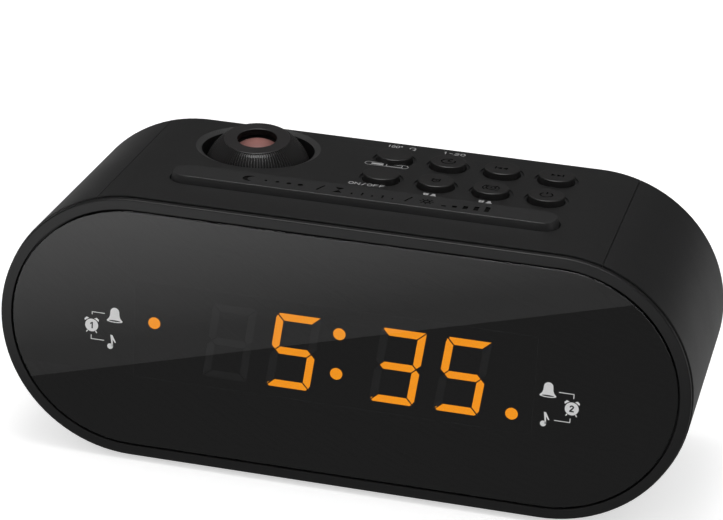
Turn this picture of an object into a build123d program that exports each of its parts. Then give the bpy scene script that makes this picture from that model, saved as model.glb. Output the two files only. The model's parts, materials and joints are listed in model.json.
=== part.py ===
from build123d import *
import math
import os

# Projection alarm clock, millimetres. +X is to the user's right, -Y is the front, +Z is up.
# The origin lies under the middle of the clock, on the surface that it stands on.

os.makedirs("parts", exist_ok=True)

# Clearances
moving_gap = 0.3  # between pieces that move past each other
running_gap = 0.1  # radial, between a shaft and its bearing
fit_gap = 0.15  # between fixed pieces that locate each other

# Housing
body_width = 190.0
body_depth = 70.0
end_radius = 37.8
wall = 2.2
foot_height = 1.2
back_round = 0.8
seam_x = 68.2
seam_gap = 0.12

mid_z = foot_height + end_radius
top_z = foot_height + 2 * end_radius
floor_z = foot_height + wall
under_top_z = top_z - wall
arc_x = body_width / 2 - end_radius
front_y = -body_depth / 2
back_y = body_depth / 2

# Front bezel and window
rim_width = 3.3
rim_depth = 1.6
rim_step = 0.35  # the rim's outline lies inside the shell's
rim_round = 0.45
groove_width = 0.6
groove_depth = 0.85
window_thickness = 2.0
window_gap = 0.45
window_sink = 0.1
window_edge = 0.3
tray_floor = 1.8
skirt_thickness = 1.6
skirt_length = 5.0

window_y = front_y + window_sink
tray_y = window_y + window_thickness
tray_back_y = tray_y + tray_floor
shell_y = front_y + rim_depth + groove_width
skirt_y = shell_y + skirt_length
skirt_inset = wall + fit_gap

# Rear cover
cover_thickness = 1.6
cover_sink = 0.4
cover_back_y = back_y - cover_sink
cover_y = cover_back_y - cover_thickness

# Screws: head radius, head height, shank radius
screw_head = 2.6
screw_head_height = 1.7
screw_shank = 1.4
screw_slot = 0.7
screw_room = 0.6  # past the tip, in the pilot hole
pilot_play = 0.05
pilot_end = 1.0  # left solid past a blind pilot hole
boss_wall = 1.5
screw_boss = screw_shank + pilot_play + boss_wall

# Long screws through the rear cover, the shell's bosses and the bezel's posts
corner_reach = 31.0
corner_boss = 3.6
corner_web = 2.0
screw_sink = 0.2
cup_depth = 2.2
cup_wall = 1.2
cup_radius = screw_head + moving_gap + cup_wall
corner_x = arc_x + corner_reach / math.sqrt(2)
corner_rise = corner_reach / math.sqrt(2)
corner_places = [(sx * corner_x, sz * corner_rise) for sx in (-1, 1) for sz in (-1, 1)]
cup_y = cover_y - cup_depth
corner_seat_y = cover_back_y - screw_head_height - screw_sink
corner_boss_y = skirt_y + moving_gap

# Display: seven segment digits behind the window
digit_height = 21.6
digit_width = 12.2
digit_slant = 0.114
segment_width = 2.1
segment_gap = 0.22
digit_pitch = 17.6
colon_room = 11.1
digit_drop = 0.25
digit_z = mid_z - digit_drop
last_digit_x = 33.9
colon_radius = 1.7
colon_rise = 6.8
colon_drop = 4.8
colon_lean = 0.3
colon_places = [(0.0, mid_z + colon_rise), (-colon_lean, mid_z - colon_drop)]
left_dot_x = -51.3
left_dot_rise = 2.3
right_dot_x = 47.7
right_dot_drop = 8.9
alarm_dots = [(left_dot_x, mid_z + left_dot_rise), (right_dot_x, mid_z - right_dot_drop)]
digit_places = [
    last_digit_x,
    last_digit_x - digit_pitch,
    last_digit_x - 2 * digit_pitch - colon_room,
    last_digit_x - 3 * digit_pitch - colon_room,
]
reflector_width = 110.0
reflector_height = 28.0
reflector_depth = 7.0
reflector_x = -1.8
display_post = reflector_depth - tray_floor
board_thickness = 1.6
display_board_width = 134.0
display_board_height = 42.0
display_board_y = tray_y + reflector_depth
display_screw_x = 61.0
display_screw_z = 16.0
display_screw_places = [
    (reflector_x + sx * display_screw_x, mid_z + sz * display_screw_z)
    for sx in (-1, 1) for sz in (-1, 1)
]

# Tabs of the shell that carry the top panel
tab_thickness = 2.0
tab_y = 22.0
tab_half = 4.0
tab_inset = 6.2
panel_boss_length = 6.4
tab_x = seam_x - tab_inset
tab_top_z = under_top_z - panel_boss_length
tab_end_x = arc_x + math.sqrt((end_radius - wall / 2) ** 2 - (tab_top_z - mid_z) ** 2)
tab_places = [(sx * tab_x, sy * tab_y) for sx in (-1, 1) for sy in (-1, 1)]

# Buttons in two rows on the top panel
button_radius = 5.0
button_proud = 1.5
button_round = 0.35
button_flange = 1.2
flange_height = 1.0
cap_wall = 1.4
cap_roof = 2.0
stem_out = 1.6
button_pitch = 15.3
button_x = 0.7
row_pitch = 16.3
back_row_reach = 13.9  # from the housing's back edge
back_row_y = back_y - back_row_reach
front_row_y = back_row_y - row_pitch
moat_width = 0.7
moat_depth = 0.4
stem_radius = 1.8
button_names = {
    "projection": (0, front_row_y),
    "alarm_one": (1, front_row_y),
    "alarm_two": (2, front_row_y),
    "radio_power": (3, front_row_y),
    "flip": (0, back_row_y),
    "clock_set": (1, back_row_y),
    "previous": (2, back_row_y),
    "next": (3, back_row_y),
}
flange_top_z = under_top_z - moving_gap
flange_z = flange_top_z - flange_height

# Snooze bar
bar_reach = 21.3  # from the housing's front edge
bar_y = front_y + bar_reach
bar_length = 105.4
bar_width = 9.1
bar_flare = 0.7
bar_proud = 2.0
bar_wall = 1.5
bar_flange = 0.7
bar_end_flat = 0.3
bar_round = 0.25
bar_leg_x = 26.0
bar_leg_radius = 2.2

# Push switches on the key board
switch_side = 6.0
switch_height = 3.5
plunger_radius = 1.7
plunger_out = 1.4
plunger_foot = 1.6
switch_floor = 0.8
plunger_top_z = flange_z - stem_out
switch_top_z = plunger_top_z - plunger_out
key_board_top_z = switch_top_z - switch_height
key_board_z = key_board_top_z - board_thickness
key_board_right = 56.0
key_board_left = -11.0
key_board_arm_left = -33.0
key_screw_room = 0.4  # between the bar's flange and a screw's boss
key_screw_left = -28.0
key_screw_right = 48.0
key_screw_y = bar_y - bar_width / 2 - bar_flare - bar_flange - key_screw_room - screw_boss
key_board_edge = 3.2
key_board_front = key_screw_y - key_board_edge
key_board_room = 5.0  # to the rear cover
key_board_back = cover_y - key_board_room
key_screw_places = [
    (button_x + button_pitch / 2, (front_row_y + back_row_y) / 2),
    (button_x + 5 * button_pitch / 2, (front_row_y + back_row_y) / 2),
    (key_screw_left, key_screw_y),
    (key_screw_right, key_screw_y),
]

# Projector: a ball head that tilts in a round well, with a ribbed focus ring as its top
ball_radius = 15.6
ball_wall = 1.8
ball_x = -37.6
ball_reach = 18.0  # from the housing's back edge
ball_y = back_y - ball_reach
ball_depth = 9.2
rest_tilt = 8.4
lens_flat = 9.3
lens_bore = 5.55
well_chamfer = 1.7
well_edge_depth = 0.8
collar_wall = 1.4
collar_depth = 5.0
ring_foot = 2.9
ring_wall = 1.7
ring_top = 1.5
ring_round = 0.25
deck_height = 1.6
neck_radius = 8.6
neck_wall = 1.2
neck_height = 5.4
sleeve_foot = 4.0
barrel_radius = 7.2
barrel_foot = 2.4
barrel_length = 7.2
barrel_opening = 5.4
lens_radius = 6.25
lens_travel = 1.0
lens_seat = 5.7
lens_edge = 1.0
lens_crown = 2.3
condenser_crown = 1.6
key_width = 1.2
key_depth = 0.7
key_drop = 1.6
key_height = 6.0
snap_height = 0.8
snap_lip = 0.3
tube_radius = 5.2
tube_wall = 2.8
tube_length = 5.0
lcd_width = 9.6
lcd_height = 9.0
lcd_thickness = 1.1
lcd_seat = 1.4
ball_foot = 9.0
lamp_board_radius = 10.4
lamp_board_thickness = 1.2
lamp_board_depth = 7.0
lamp_post_radius = 1.2
lamp_post_reach = 9.2
lamp_side = 5.0
lamp_base = 1.0
lamp_radius = 2.0
lamp_dome = 0.9
pin_radius = 1.8
pin_boss = 2.5
pin_boss_length = 3.0
pin_start = 1.4  # how far inside the ball's wall a pin begins
press_play = 0.02
arm_thickness = 2.6
arm_gap = 0.6
arm_half = 4.5
pivot_z = top_z - ball_depth
flat_height = math.sqrt(ball_radius**2 - lens_flat**2)
well_radius = ball_radius + moving_gap
cradle_ear_front = 7.0
cradle_ear_y = ball_y - cradle_ear_front
key_board_front_room = 22.0  # keeps the key board's arm short of the cradle
key_board_arm_back = ball_y - key_board_front_room
cradle_ear_reach = 21.7
cradle_thickness = 4.0
cradle_drop = 5.6
cradle_z = pivot_z - cradle_drop
cradle_top_z = cradle_z + cradle_thickness
cradle_ears = [(ball_x + sx * cradle_ear_reach, cradle_ear_y) for sx in (-1, 1)]

# Underside: feet, battery compartment
foot_radius = 5.5
foot_sink = 0.8
foot_inset_x = 7.2
foot_inset_y = 12.0
foot_x = arc_x - foot_inset_x
foot_y = back_y - foot_inset_y
foot_round = 0.4
foot_places = [(sx * foot_x, sy * foot_y) for sx in (-1, 1) for sy in (-1, 1)]
door_half_width = 14.0
door_thickness = 1.8
door_reach = 29.0  # from the housing's back edge
door_front_y = back_y - door_reach
tongue = 1.2
tongue_thickness = 0.8
grip_count = 3
grip_pitch = 2.0
grip_width = 0.8
grip_depth = 0.4
grip_inset = 6.0
cell_radius = 10.0
cell_thickness = 3.2
cell_room = 1.9
cell_round = 0.5
cell_seal = 1.4
cell_seal_gap = 0.4
cell_step = 0.3
contact_leaf = 0.4
contact_half_width = 3.0
contact_half_length = 8.0
contact_dimple = 2.0
clip_half_width = 2.5
clip_lift = 0.5
bay_play = 1.0
bay_radius = cell_radius + bay_play
bay_wall = 2.2
bay_half_depth = bay_radius + bay_wall
bay_half_width = door_half_width + tongue + bay_wall
bay_roof = 1.2
bay_reach = 16.0  # from the housing's back edge
bay_y = back_y - bay_reach
cell_z = foot_height + door_thickness + moving_gap
bay_top_z = cell_z + cell_thickness + cell_room

# Main board and transformer
main_board_z = 14.0
main_board_left = -10.0
main_board_right = 66.0
main_board_front = -22.0
main_board_room = 13.0  # keeps the board short of the coin cell's middle
main_board_back = bay_y - main_board_room
main_screw_inset = 4.0
main_pilot = 6.0
main_screw_places = [
    (x, y)
    for x in (main_board_left + main_screw_inset, main_board_right - main_screw_inset)
    for y in (main_board_front + main_screw_inset, main_board_back - main_screw_inset)
]
chips = [(18.0, 16.0), (40.0, 14.0)]  # from the board's left edge, length
chip_gap = 1.9  # behind the flat cables' feet
chip_depth = 8.0
chip_height = 2.4
cans = [(12.0, 5.0, 16.0), (26.0, 4.0, 11.0), (37.0, 4.0, 11.0)]  # place, radius, height
can_behind = 6.0  # behind the chips
sink_left = 60.0
sink_front = 8.0  # from the board's front edge
sink_thickness = 1.5
sink_depth = 16.0
sink_height = 14.0
power_chip_depth = 10.0
power_chip_width = 4.0
power_chip_height = 12.0
plug_left = 2.0
plug_front = 9.5  # from the board's front edge
plug_length = 12.0
plug_depth = 5.0
plug_height = 6.0
core_x = -38.0
core_y = -4.0
core_z = 8.0
core_width = 35.0
core_height = 29.0
core_depth = 15.0
core_leg = 5.8
coil_depth = 26.0
strap_thickness = 0.8
strap_ear = 6.4
strap_inset = 2.0
strap_pilot = 3.0
plinth_half = 1.0
coil_corner = 2.0
strap_reach = core_width / 2 + strap_thickness + strap_ear / 2
strap_places = [(core_x + sx * strap_reach, core_y) for sx in (-1, 1)]

# Flat cables from the main board to the display board and the key board
ribbon_thickness = 0.4
ribbon_bend = 1.5
ribbon_stand = 3.4
ribbon_foot = 5.0
key_ribbon_top = 6.0
display_ribbon_drop = 14.0
display_ribbon_span = (4.0, 24.0)
key_ribbon_span = (28.0, 44.0)
board_back_y = display_board_y + board_thickness
ribbon_y = board_back_y + ribbon_stand
chip_y = ribbon_y + ribbon_foot + chip_gap

# Loudspeaker on the rear cover
speaker_x = 32.0
speaker_z = 40.0
speaker_radius = 24.0
speaker_depth = 13.0
magnet_radius = 14.0
magnet_depth = 7.0
magnet_core = 5.8
magnet_core_depth = 2.6
basket_lip = 3.0
basket_wall = 1.0
basket_hole = 8.0
cone_edge = 4.4
cone_thickness = 0.6
cone_clear = 0.3
coil_radius = 7.0
coil_wall = 0.6
coil_clear = 1.6
dust_cap = 2.0
slot_width = 1.8
slot_pitch = 4.2
grille_radius = 20.0
speaker_flange = 1.2
vent_count = 7
vent_length = 20.3
speaker_screw_length = 2.4
speaker_screw_head = 4.2
speaker_reach = speaker_radius + screw_boss + fit_gap
speaker_places = [
    (
        speaker_x + speaker_reach * math.cos(math.radians(angle)),
        speaker_z + speaker_reach * math.sin(math.radians(angle)),
    )
    for angle in (90, 210, 330)
]

# Mains lead inlet
gland_out = 8.8
gland_drop = 23.0
gland_x = -arc_x - gland_out
gland_z = mid_z - gland_drop
gland_bore = 2.7
gland_wall = 0.9
gland_lip = 1.2
gland_length = 4.4
gland_proud = 0.3
aerial_hole = 1.25


def finish(builder, name):
    """Labels a finished piece and writes it."""
    builder.part.label = name
    export_step(builder.part, f"parts/{name}.step")


def upright(y, x=0.0, z=mid_z):
    """A plane across the depth of the clock; extrude by a negative amount to go back."""
    return Plane(origin=(x, y, z), x_dir=(1, 0, 0), z_dir=(0, -1, 0))


def level(z, x=0.0, y=0.0):
    return Plane(origin=(x, y, z))


def underside(z, x=0.0, y=0.0):
    return Plane(origin=(x, y, z), x_dir=(1, 0, 0), z_dir=(0, 0, -1))


def disc(plane, radius, height, mode=Mode.ADD):
    with BuildSketch(plane) as face:
        Circle(radius)
    extrude(face.sketch, amount=height, mode=mode)


def block(x, y, z, mode=Mode.ADD):
    """A box from its low and high coordinates along each axis."""
    with BuildSketch(level(z[0])) as face:
        with Locations(((x[0] + x[1]) / 2, (y[0] + y[1]) / 2)):
            Rectangle(x[1] - x[0], y[1] - y[0])
    extrude(face.sketch, amount=z[1] - z[0], mode=mode)


def slab(y_from, y_to, inset, mode=Mode.ADD):
    """The housing's outline, drawn in by inset, from one depth to another."""
    with BuildSketch(upright(y_from)) as face:
        SlotOverall(body_width - 2 * inset, 2 * (end_radius - inset))
    extrude(face.sketch, amount=y_from - y_to, mode=mode)


def screw(seat, length, head=screw_head):
    """A pan head screw whose head stands on the seat plane, with a cross recess."""
    disc(seat, head, screw_head_height)
    disc(seat, screw_shank, -length)
    with BuildSketch(seat.offset(screw_head_height)) as cross:
        Rectangle(2 * screw_shank, screw_slot)
        Rectangle(screw_slot, 2 * screw_shank)
    extrude(cross.sketch, amount=-screw_head_height / 2, mode=Mode.SUBTRACT)


def pilot(plane, depth):
    disc(plane, screw_shank + pilot_play, depth, Mode.SUBTRACT)


def button_place(column, row_y):
    return button_x + column * button_pitch, row_y


def segment_outlines():
    """Corner points of the seven segments of one digit, upright and about its middle."""
    w, h, t, g = digit_width / 2, digit_height / 2, segment_width, segment_gap
    top = [(-w + g, h), (w - g, h), (w - t - g, h - t), (-w + t + g, h - t)]
    middle = [(-w + t / 2 + g, 0), (-w + t + g, t / 2), (w - t - g, t / 2),
              (w - t / 2 - g, 0), (w - t - g, -t / 2), (-w + t + g, -t / 2)]
    side = [(w, h - g), (w - t, h - t - g), (w - t, t / 2 + g), (w - t / 2, g), (w, g + t / 2)]
    flip_x = [(-x, z) for x, z in side]
    flip_z = [(x, -z) for x, z in side]
    both = [(-x, -z) for x, z in side]
    bottom = [(x, -z) for x, z in top]
    return [top, middle, bottom, side, flip_x, flip_z, both]


def draw_segments(y):
    """All the segments and dots as one sketch on the plane at y."""
    with BuildSketch(upright(y, z=digit_z)) as face:
        for x in digit_places:
            for corners in segment_outlines():
                with BuildLine():
                    Polyline([(x + u + digit_slant * v, v) for u, v in corners], close=True)
                make_face()
        for x, z in colon_places + alarm_dots:
            with Locations((x, z - digit_z)):
                Circle(colon_radius)
    return face.sketch


# ---------------------------------------------------------------- front

with BuildPart() as front_bezel:
    slab(front_y, front_y + rim_depth, rim_step)
    front_edges = front_bezel.faces().sort_by(Axis.Y)[0].edges()
    fillet(front_edges, rim_round)
    slab(front_y + rim_depth, shell_y, groove_depth)
    slab(shell_y, skirt_y, skirt_inset)
    slab(front_y, tray_y, rim_width, Mode.SUBTRACT)
    slab(tray_back_y, skirt_y, skirt_inset + skirt_thickness, Mode.SUBTRACT)
    with BuildSketch(upright(tray_y)) as aperture:
        with Locations((reflector_x, 0)):
            Rectangle(reflector_width + 2 * fit_gap, reflector_height + 2 * fit_gap)
    extrude(aperture.sketch, amount=-tray_floor, mode=Mode.SUBTRACT)
    for x, z in display_screw_places:
        post = upright(tray_back_y, x, z)
        disc(post, screw_boss, -display_post)
        pilot(post, -display_post)
    for x, z in corner_places:
        post = upright(tray_back_y, x, mid_z + z)
        disc(post, screw_boss, tray_back_y - corner_boss_y)
        pilot(post, tray_back_y - corner_boss_y)
finish(front_bezel, "front_bezel")

with BuildPart() as display_window:
    slab(window_y, tray_y, rim_width + window_gap)
    fillet(display_window.faces().sort_by(Axis.Y)[0].edges(), window_edge)
finish(display_window, "display_window")

with BuildPart() as display_reflector:
    with BuildSketch(upright(tray_y)) as shade:
        with Locations((reflector_x, 0)):
            Rectangle(reflector_width, reflector_height)
    extrude(shade.sketch, amount=-reflector_depth)
    extrude(draw_segments(tray_y), amount=-reflector_depth, mode=Mode.SUBTRACT)
finish(display_reflector, "display_reflector")

with BuildPart() as digit_segments:
    extrude(draw_segments(tray_y), amount=-reflector_depth)
finish(digit_segments, "digit_segments")

with BuildPart() as display_board:
    with BuildSketch(upright(display_board_y)) as laminate:
        with Locations((reflector_x, 0)):
            Rectangle(display_board_width, display_board_height)
    extrude(laminate.sketch, amount=-board_thickness)
    for x, z in display_screw_places:
        pilot(upright(display_board_y, x, z), -board_thickness)
finish(display_board, "display_board")

with BuildPart() as display_screws:
    for x, z in display_screw_places:
        seat_y = display_board_y + board_thickness
        seat = Plane(origin=(x, seat_y, z), x_dir=(1, 0, 0), z_dir=(0, 1, 0))
        screw(seat, board_thickness + display_post - screw_room)
finish(display_screws, "display_screws")

# ---------------------------------------------------------------- shell and top panel


def housing_wall(builder):
    """The whole wrap-round wall, before the top panel is parted from it."""
    slab(shell_y, back_y, 0)
    fillet(builder.faces().sort_by(Axis.Y)[-1].edges(), back_round)
    slab(shell_y, back_y, wall, Mode.SUBTRACT)


with BuildPart() as main_shell:
    housing_wall(main_shell)
    seam = seam_x + seam_gap / 2
    block((-seam, seam), (shell_y, back_y), (mid_z, top_z), Mode.SUBTRACT)
    # tabs that carry the top panel
    for x, y in tab_places:
        side = math.copysign(1, x)
        span = sorted((side * (tab_x - tab_half), side * tab_end_x))
        block(span, (y - tab_half, y + tab_half), (tab_top_z - tab_thickness, tab_top_z))
        pilot(level(tab_top_z, x, y), -tab_thickness)
    # long bosses with webs to the wall
    for x, z in corner_places:
        boss = upright(corner_boss_y, x, mid_z + z)
        disc(boss, corner_boss, corner_boss_y - cup_y)
        reach = end_radius - wall / 2 - corner_reach
        lean = math.degrees(math.atan2(z, math.copysign(corner_rise, x)))
        with BuildSketch(boss) as web:
            with Locations(Location((0, 0), lean)):
                Rectangle(reach, corner_web, align=(Align.MIN, Align.CENTER))
        extrude(web.sketch, amount=corner_boss_y - cup_y)
        disc(boss, screw_shank + moving_gap, corner_boss_y - cup_y, Mode.SUBTRACT)
    # posts for the main board and plinths for the transformer
    for x, y in main_screw_places:
        disc(level(floor_z - wall / 2, x, y), screw_boss, main_board_z - floor_z + wall / 2)
        pilot(level(main_board_z, x, y), -main_pilot)
    for x, y in strap_places:
        disc(level(floor_z - wall / 4, x, y), screw_boss, core_z - floor_z + wall / 4)
        plinth_x = (x - plinth_half, x + plinth_half)
        block(plinth_x, (y - screw_boss, y + screw_boss), (floor_z - wall / 4, core_z))
        pilot(level(core_z, x, y), -strap_pilot)
    block(
        (core_x - core_width / 4, core_x + core_width / 4),
        (core_y - core_depth / 2, core_y + core_depth / 2),
        (floor_z - wall / 4, core_z),
    )
    # battery bay, with the grooves that the door slides in
    block(
        (-bay_half_width, bay_half_width), (bay_y - bay_half_depth, bay_y + bay_half_depth),
        (floor_z - wall / 4, bay_top_z + bay_roof),
    )
    disc(level(foot_height, 0, bay_y), bay_radius, bay_top_z - foot_height, Mode.SUBTRACT)
    block(
        (-door_half_width - moving_gap, door_half_width + moving_gap),
        (door_front_y - moving_gap, back_y),
        (foot_height, foot_height + door_thickness + moving_gap), Mode.SUBTRACT,
    )
    tongue_z = foot_height + (door_thickness - tongue_thickness) / 2
    block(
        (-door_half_width - tongue - moving_gap, door_half_width + tongue + moving_gap),
        (door_front_y - moving_gap, back_y),
        (tongue_z - moving_gap / 3, tongue_z + tongue_thickness + moving_gap), Mode.SUBTRACT,
    )
    for x, y in foot_places:
        disc(level(foot_height, x, y), foot_radius + fit_gap, foot_sink, Mode.SUBTRACT)
finish(main_shell, "main_shell")

with BuildPart() as top_panel:
    housing_wall(top_panel)
    seam = seam_x - seam_gap / 2
    block((-seam, seam), (shell_y, back_y), (mid_z, top_z), Mode.INTERSECT)
    # bosses: tabs, key board, cradle
    for x, y in tab_places:
        disc(level(tab_top_z, x, y), screw_boss, panel_boss_length + wall / 4)
        pilot(level(tab_top_z, x, y), panel_boss_length - pilot_end)
    for x, y in key_screw_places:
        disc(level(key_board_top_z, x, y), screw_boss, under_top_z - key_board_top_z + wall / 4)
        pilot(level(key_board_top_z, x, y), under_top_z - key_board_top_z - pilot_end)
    for x, y in cradle_ears:
        disc(level(cradle_top_z, x, y), screw_boss, under_top_z - cradle_top_z + wall / 4)
        pilot(level(cradle_top_z, x, y), under_top_z - cradle_top_z - pilot_end)
    # round well of the projector, with its collar
    collar = level(top_z - collar_depth, ball_x, ball_y)
    collar_radius = well_radius + collar_wall
    disc(collar, collar_radius, collar_depth - wall / 4)
    # the collar ends in front of the rear cover; the wall above and beside it stays whole
    block(
        (ball_x - collar_radius, ball_x + collar_radius),
        (cover_y - moving_gap, back_y), (top_z - collar_depth, under_top_z), Mode.SUBTRACT,
    )
    disc(collar, well_radius, collar_depth, Mode.SUBTRACT)
    with BuildSketch(level(top_z - well_edge_depth, ball_x, ball_y)) as well_low:
        Circle(well_radius)
    with BuildSketch(level(top_z, ball_x, ball_y)) as well_high:
        Circle(well_radius + well_chamfer)
    loft([well_low.sketch.faces()[0], well_high.sketch.faces()[0]], mode=Mode.SUBTRACT)
    # holes and shallow dishes of the buttons
    for column, row_y in button_names.values():
        x, y = button_place(column, row_y)
        disc(level(under_top_z, x, y), button_radius + moving_gap, wall, Mode.SUBTRACT)
        dish_radius = button_radius + moving_gap + moat_width
        disc(level(top_z - moat_depth, x, y), dish_radius, moat_depth, Mode.SUBTRACT)
    # slot of the snooze bar
    with BuildSketch(level(under_top_z, 0, bar_y)) as bar_slot:
        grow = 2 * (bar_flare + moving_gap)
        RectangleRounded(bar_length + grow, bar_width + grow, bar_width / 2 + bar_flare)
    extrude(bar_slot.sketch, amount=wall, mode=Mode.SUBTRACT)
finish(top_panel, "top_panel")

with BuildPart() as panel_screws:
    for x, y in tab_places:
        under_tab = underside(tab_top_z - tab_thickness, x, y)
        screw(under_tab, tab_thickness + panel_boss_length - pilot_end - screw_room)
finish(panel_screws, "panel_screws")

# ---------------------------------------------------------------- back

with BuildPart() as rear_cover:
    slab(cover_y, cover_back_y, wall + fit_gap)
    for x, z in corner_places:
        cup = upright(cup_y, x, mid_z + z)
        disc(cup, cup_radius, cup_y - cover_y)
        well = upright(corner_seat_y, x, mid_z + z)
        recess = corner_seat_y - cover_back_y
        disc(well, screw_head + moving_gap, recess, Mode.SUBTRACT)
        disc(cup, screw_shank + moving_gap, cup_y - corner_seat_y, Mode.SUBTRACT)
    # loudspeaker grille, slots cut to a round field
    with BuildSketch(upright(cover_y)) as grille:
        rows = int(grille_radius // slot_pitch)
        for row in range(-rows, rows + 1):
            reach = math.sqrt(grille_radius**2 - (row * slot_pitch) ** 2)
            with Locations((speaker_x, speaker_z - mid_z + row * slot_pitch)):
                SlotOverall(2 * reach, slot_width)
    extrude(grille.sketch, amount=cover_y - cover_back_y, mode=Mode.SUBTRACT)
    # warm air slots behind the transformer
    with BuildSketch(upright(cover_y)) as vents:
        with Locations((core_x, 0)):
            with GridLocations(slot_pitch, slot_pitch, vent_count, 1):
                SlotOverall(vent_length, slot_width, rotation=90)
    extrude(vents.sketch, amount=cover_y - cover_back_y, mode=Mode.SUBTRACT)
    # inlet of the mains lead, outlet of the aerial wire
    inlet = upright(cover_y, gland_x, gland_z)
    disc(inlet, gland_bore + gland_wall, cover_y - cover_back_y, Mode.SUBTRACT)
    lip = upright(cover_y + cover_thickness / 2, gland_x, gland_z)
    lip_radius = gland_bore + gland_wall + gland_lip + fit_gap
    disc(lip, lip_radius, -cover_thickness / 2, Mode.SUBTRACT)
    aerial = upright(cover_y, -gland_x, gland_z)
    disc(aerial, aerial_hole, cover_y - cover_back_y, Mode.SUBTRACT)
    # bosses that hold the loudspeaker
    for x, z in speaker_places:
        disc(upright(cover_y, x, z), screw_boss, speaker_flange)
        pilot(upright(cover_y - speaker_flange, x, z), -speaker_screw_length)
finish(rear_cover, "rear_cover")

with BuildPart() as cover_screws:
    for x, z in corner_places:
        seat = Plane(origin=(x, corner_seat_y, mid_z + z), x_dir=(1, 0, 0), z_dir=(0, 1, 0))
        screw(seat, corner_seat_y - tray_back_y - screw_room)
finish(cover_screws, "cover_screws")

with BuildPart() as cord_gland:
    outer_y = cover_back_y + gland_proud
    shoulder_y = cover_y + cover_thickness / 2
    disc(upright(outer_y, gland_x, gland_z), lip_radius - fit_gap, outer_y - shoulder_y)
    neck = upright(outer_y, gland_x, gland_z)
    disc(neck, gland_bore + gland_wall, gland_length)
    inner = upright(cover_y, gland_x, gland_z)
    disc(inner, gland_bore + gland_wall + gland_lip, gland_length - (outer_y - cover_y))
    disc(neck, gland_bore, gland_length, Mode.SUBTRACT)
finish(cord_gland, "cord_gland")

with BuildPart() as rubber_feet:
    for x, y in foot_places:
        disc(level(0, x, y), foot_radius, foot_height + foot_sink)
    fillet(rubber_feet.edges().group_by(Axis.Z)[0], foot_round)
finish(rubber_feet, "rubber_feet")

# ---------------------------------------------------------------- battery

with BuildPart() as battery_door:
    block(
        (-door_half_width, door_half_width), (door_front_y, back_y - cover_sink),
        (foot_height, foot_height + door_thickness),
    )
    block(
        (-door_half_width - tongue, door_half_width + tongue),
        (door_front_y, back_y - cover_sink), (tongue_z, tongue_z + tongue_thickness),
    )
    # grooves in the outside for the finger
    with BuildSketch(underside(foot_height)) as grip:
        with Locations((0, grip_inset - back_y)):
            with GridLocations(grip_pitch, grip_pitch, 1, grip_count):
                Rectangle(door_half_width, grip_width)
    extrude(grip.sketch, amount=-grip_depth, mode=Mode.SUBTRACT)
finish(battery_door, "battery_door")

with BuildPart() as coin_cell:
    cell_base = level(cell_z, 0, bay_y)
    disc(cell_base, cell_radius, cell_thickness)
    fillet(coin_cell.edges().group_by(Axis.Z)[-1], cell_round)
    disc(cell_base, cell_radius - cell_seal, cell_step, Mode.SUBTRACT)
    disc(cell_base, cell_radius - cell_seal - cell_seal_gap, cell_step)
finish(coin_cell, "coin_cell")

with BuildPart() as battery_contacts:
    block(
        (-contact_half_width, contact_half_width),
        (bay_y - contact_half_length, bay_y + contact_half_length),
        (bay_top_z - contact_leaf, bay_top_z),
    )
    dimple = level(cell_z + cell_thickness, 0, bay_y)
    disc(dimple, contact_dimple, cell_room - contact_leaf)
    clip_x = cell_radius + fit_gap
    block(
        (clip_x, clip_x + contact_leaf), (bay_y - clip_half_width, bay_y + clip_half_width),
        (cell_z + clip_lift, bay_top_z),
    )
finish(battery_contacts, "battery_contacts")

# ---------------------------------------------------------------- buttons

for name, (column, row_y) in button_names.items():
    x, y = button_place(column, row_y)
    with BuildPart() as cap:
        disc(level(flange_z, x, y), button_radius, top_z + button_proud - flange_z)
        fillet(cap.edges().group_by(Axis.Z)[-1], button_round)
        disc(level(flange_z, x, y), button_radius + button_flange, flange_height)
        roof_z = top_z + button_proud - cap_roof
        disc(level(flange_z, x, y), button_radius - cap_wall, roof_z - flange_z, Mode.SUBTRACT)
        disc(level(plunger_top_z, x, y), stem_radius, roof_z + cap_roof / 2 - plunger_top_z)
    finish(cap, f"{name}_button")
    with BuildPart() as plunger:
        disc(level(switch_top_z - plunger_foot, x, y), plunger_radius, plunger_foot + plunger_out)
    finish(plunger, f"{name}_plunger")

with BuildPart() as snooze_bar:
    bar_base_length = bar_length + 2 * bar_flare
    bar_base_width = bar_width + 2 * bar_flare
    with BuildSketch(level(flange_z, 0, bar_y)) as bar_low:
        RectangleRounded(bar_base_length, bar_base_width, bar_base_width / 2 - bar_end_flat)
    extrude(bar_low.sketch, amount=top_z - flange_z)
    with BuildSketch(level(top_z, 0, bar_y)) as bar_mid:
        RectangleRounded(bar_base_length, bar_base_width, bar_base_width / 2 - bar_end_flat)
    with BuildSketch(level(top_z + bar_proud, 0, bar_y)) as bar_high:
        RectangleRounded(bar_length, bar_width, bar_width / 2 - bar_end_flat)
    loft([bar_mid.sketch.faces()[0], bar_high.sketch.faces()[0]])
    fillet(snooze_bar.edges().group_by(Axis.Z)[-1], bar_round)
    with BuildSketch(level(flange_z, 0, bar_y)) as bar_foot:
        grow = 2 * bar_flange
        RectangleRounded(bar_base_length + grow, bar_base_width + grow, bar_base_width / 2)
    extrude(bar_foot.sketch, amount=flange_height)
    with BuildSketch(level(flange_z, 0, bar_y)) as bar_hollow:
        shrink = 2 * bar_wall
        end = (bar_width - shrink) / 2 - bar_end_flat
        RectangleRounded(bar_length - shrink, bar_width - shrink, end)
    extrude(bar_hollow.sketch, amount=top_z + bar_proud - bar_wall - flange_z, mode=Mode.SUBTRACT)
    for sx in (-1, 1):
        leg = level(plunger_top_z, sx * bar_leg_x, bar_y)
        disc(leg, bar_leg_radius, top_z + bar_proud - bar_wall / 2 - plunger_top_z)
finish(snooze_bar, "snooze_bar")

snooze_places = [(sx * bar_leg_x, bar_y) for sx in (-1, 1)]

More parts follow.
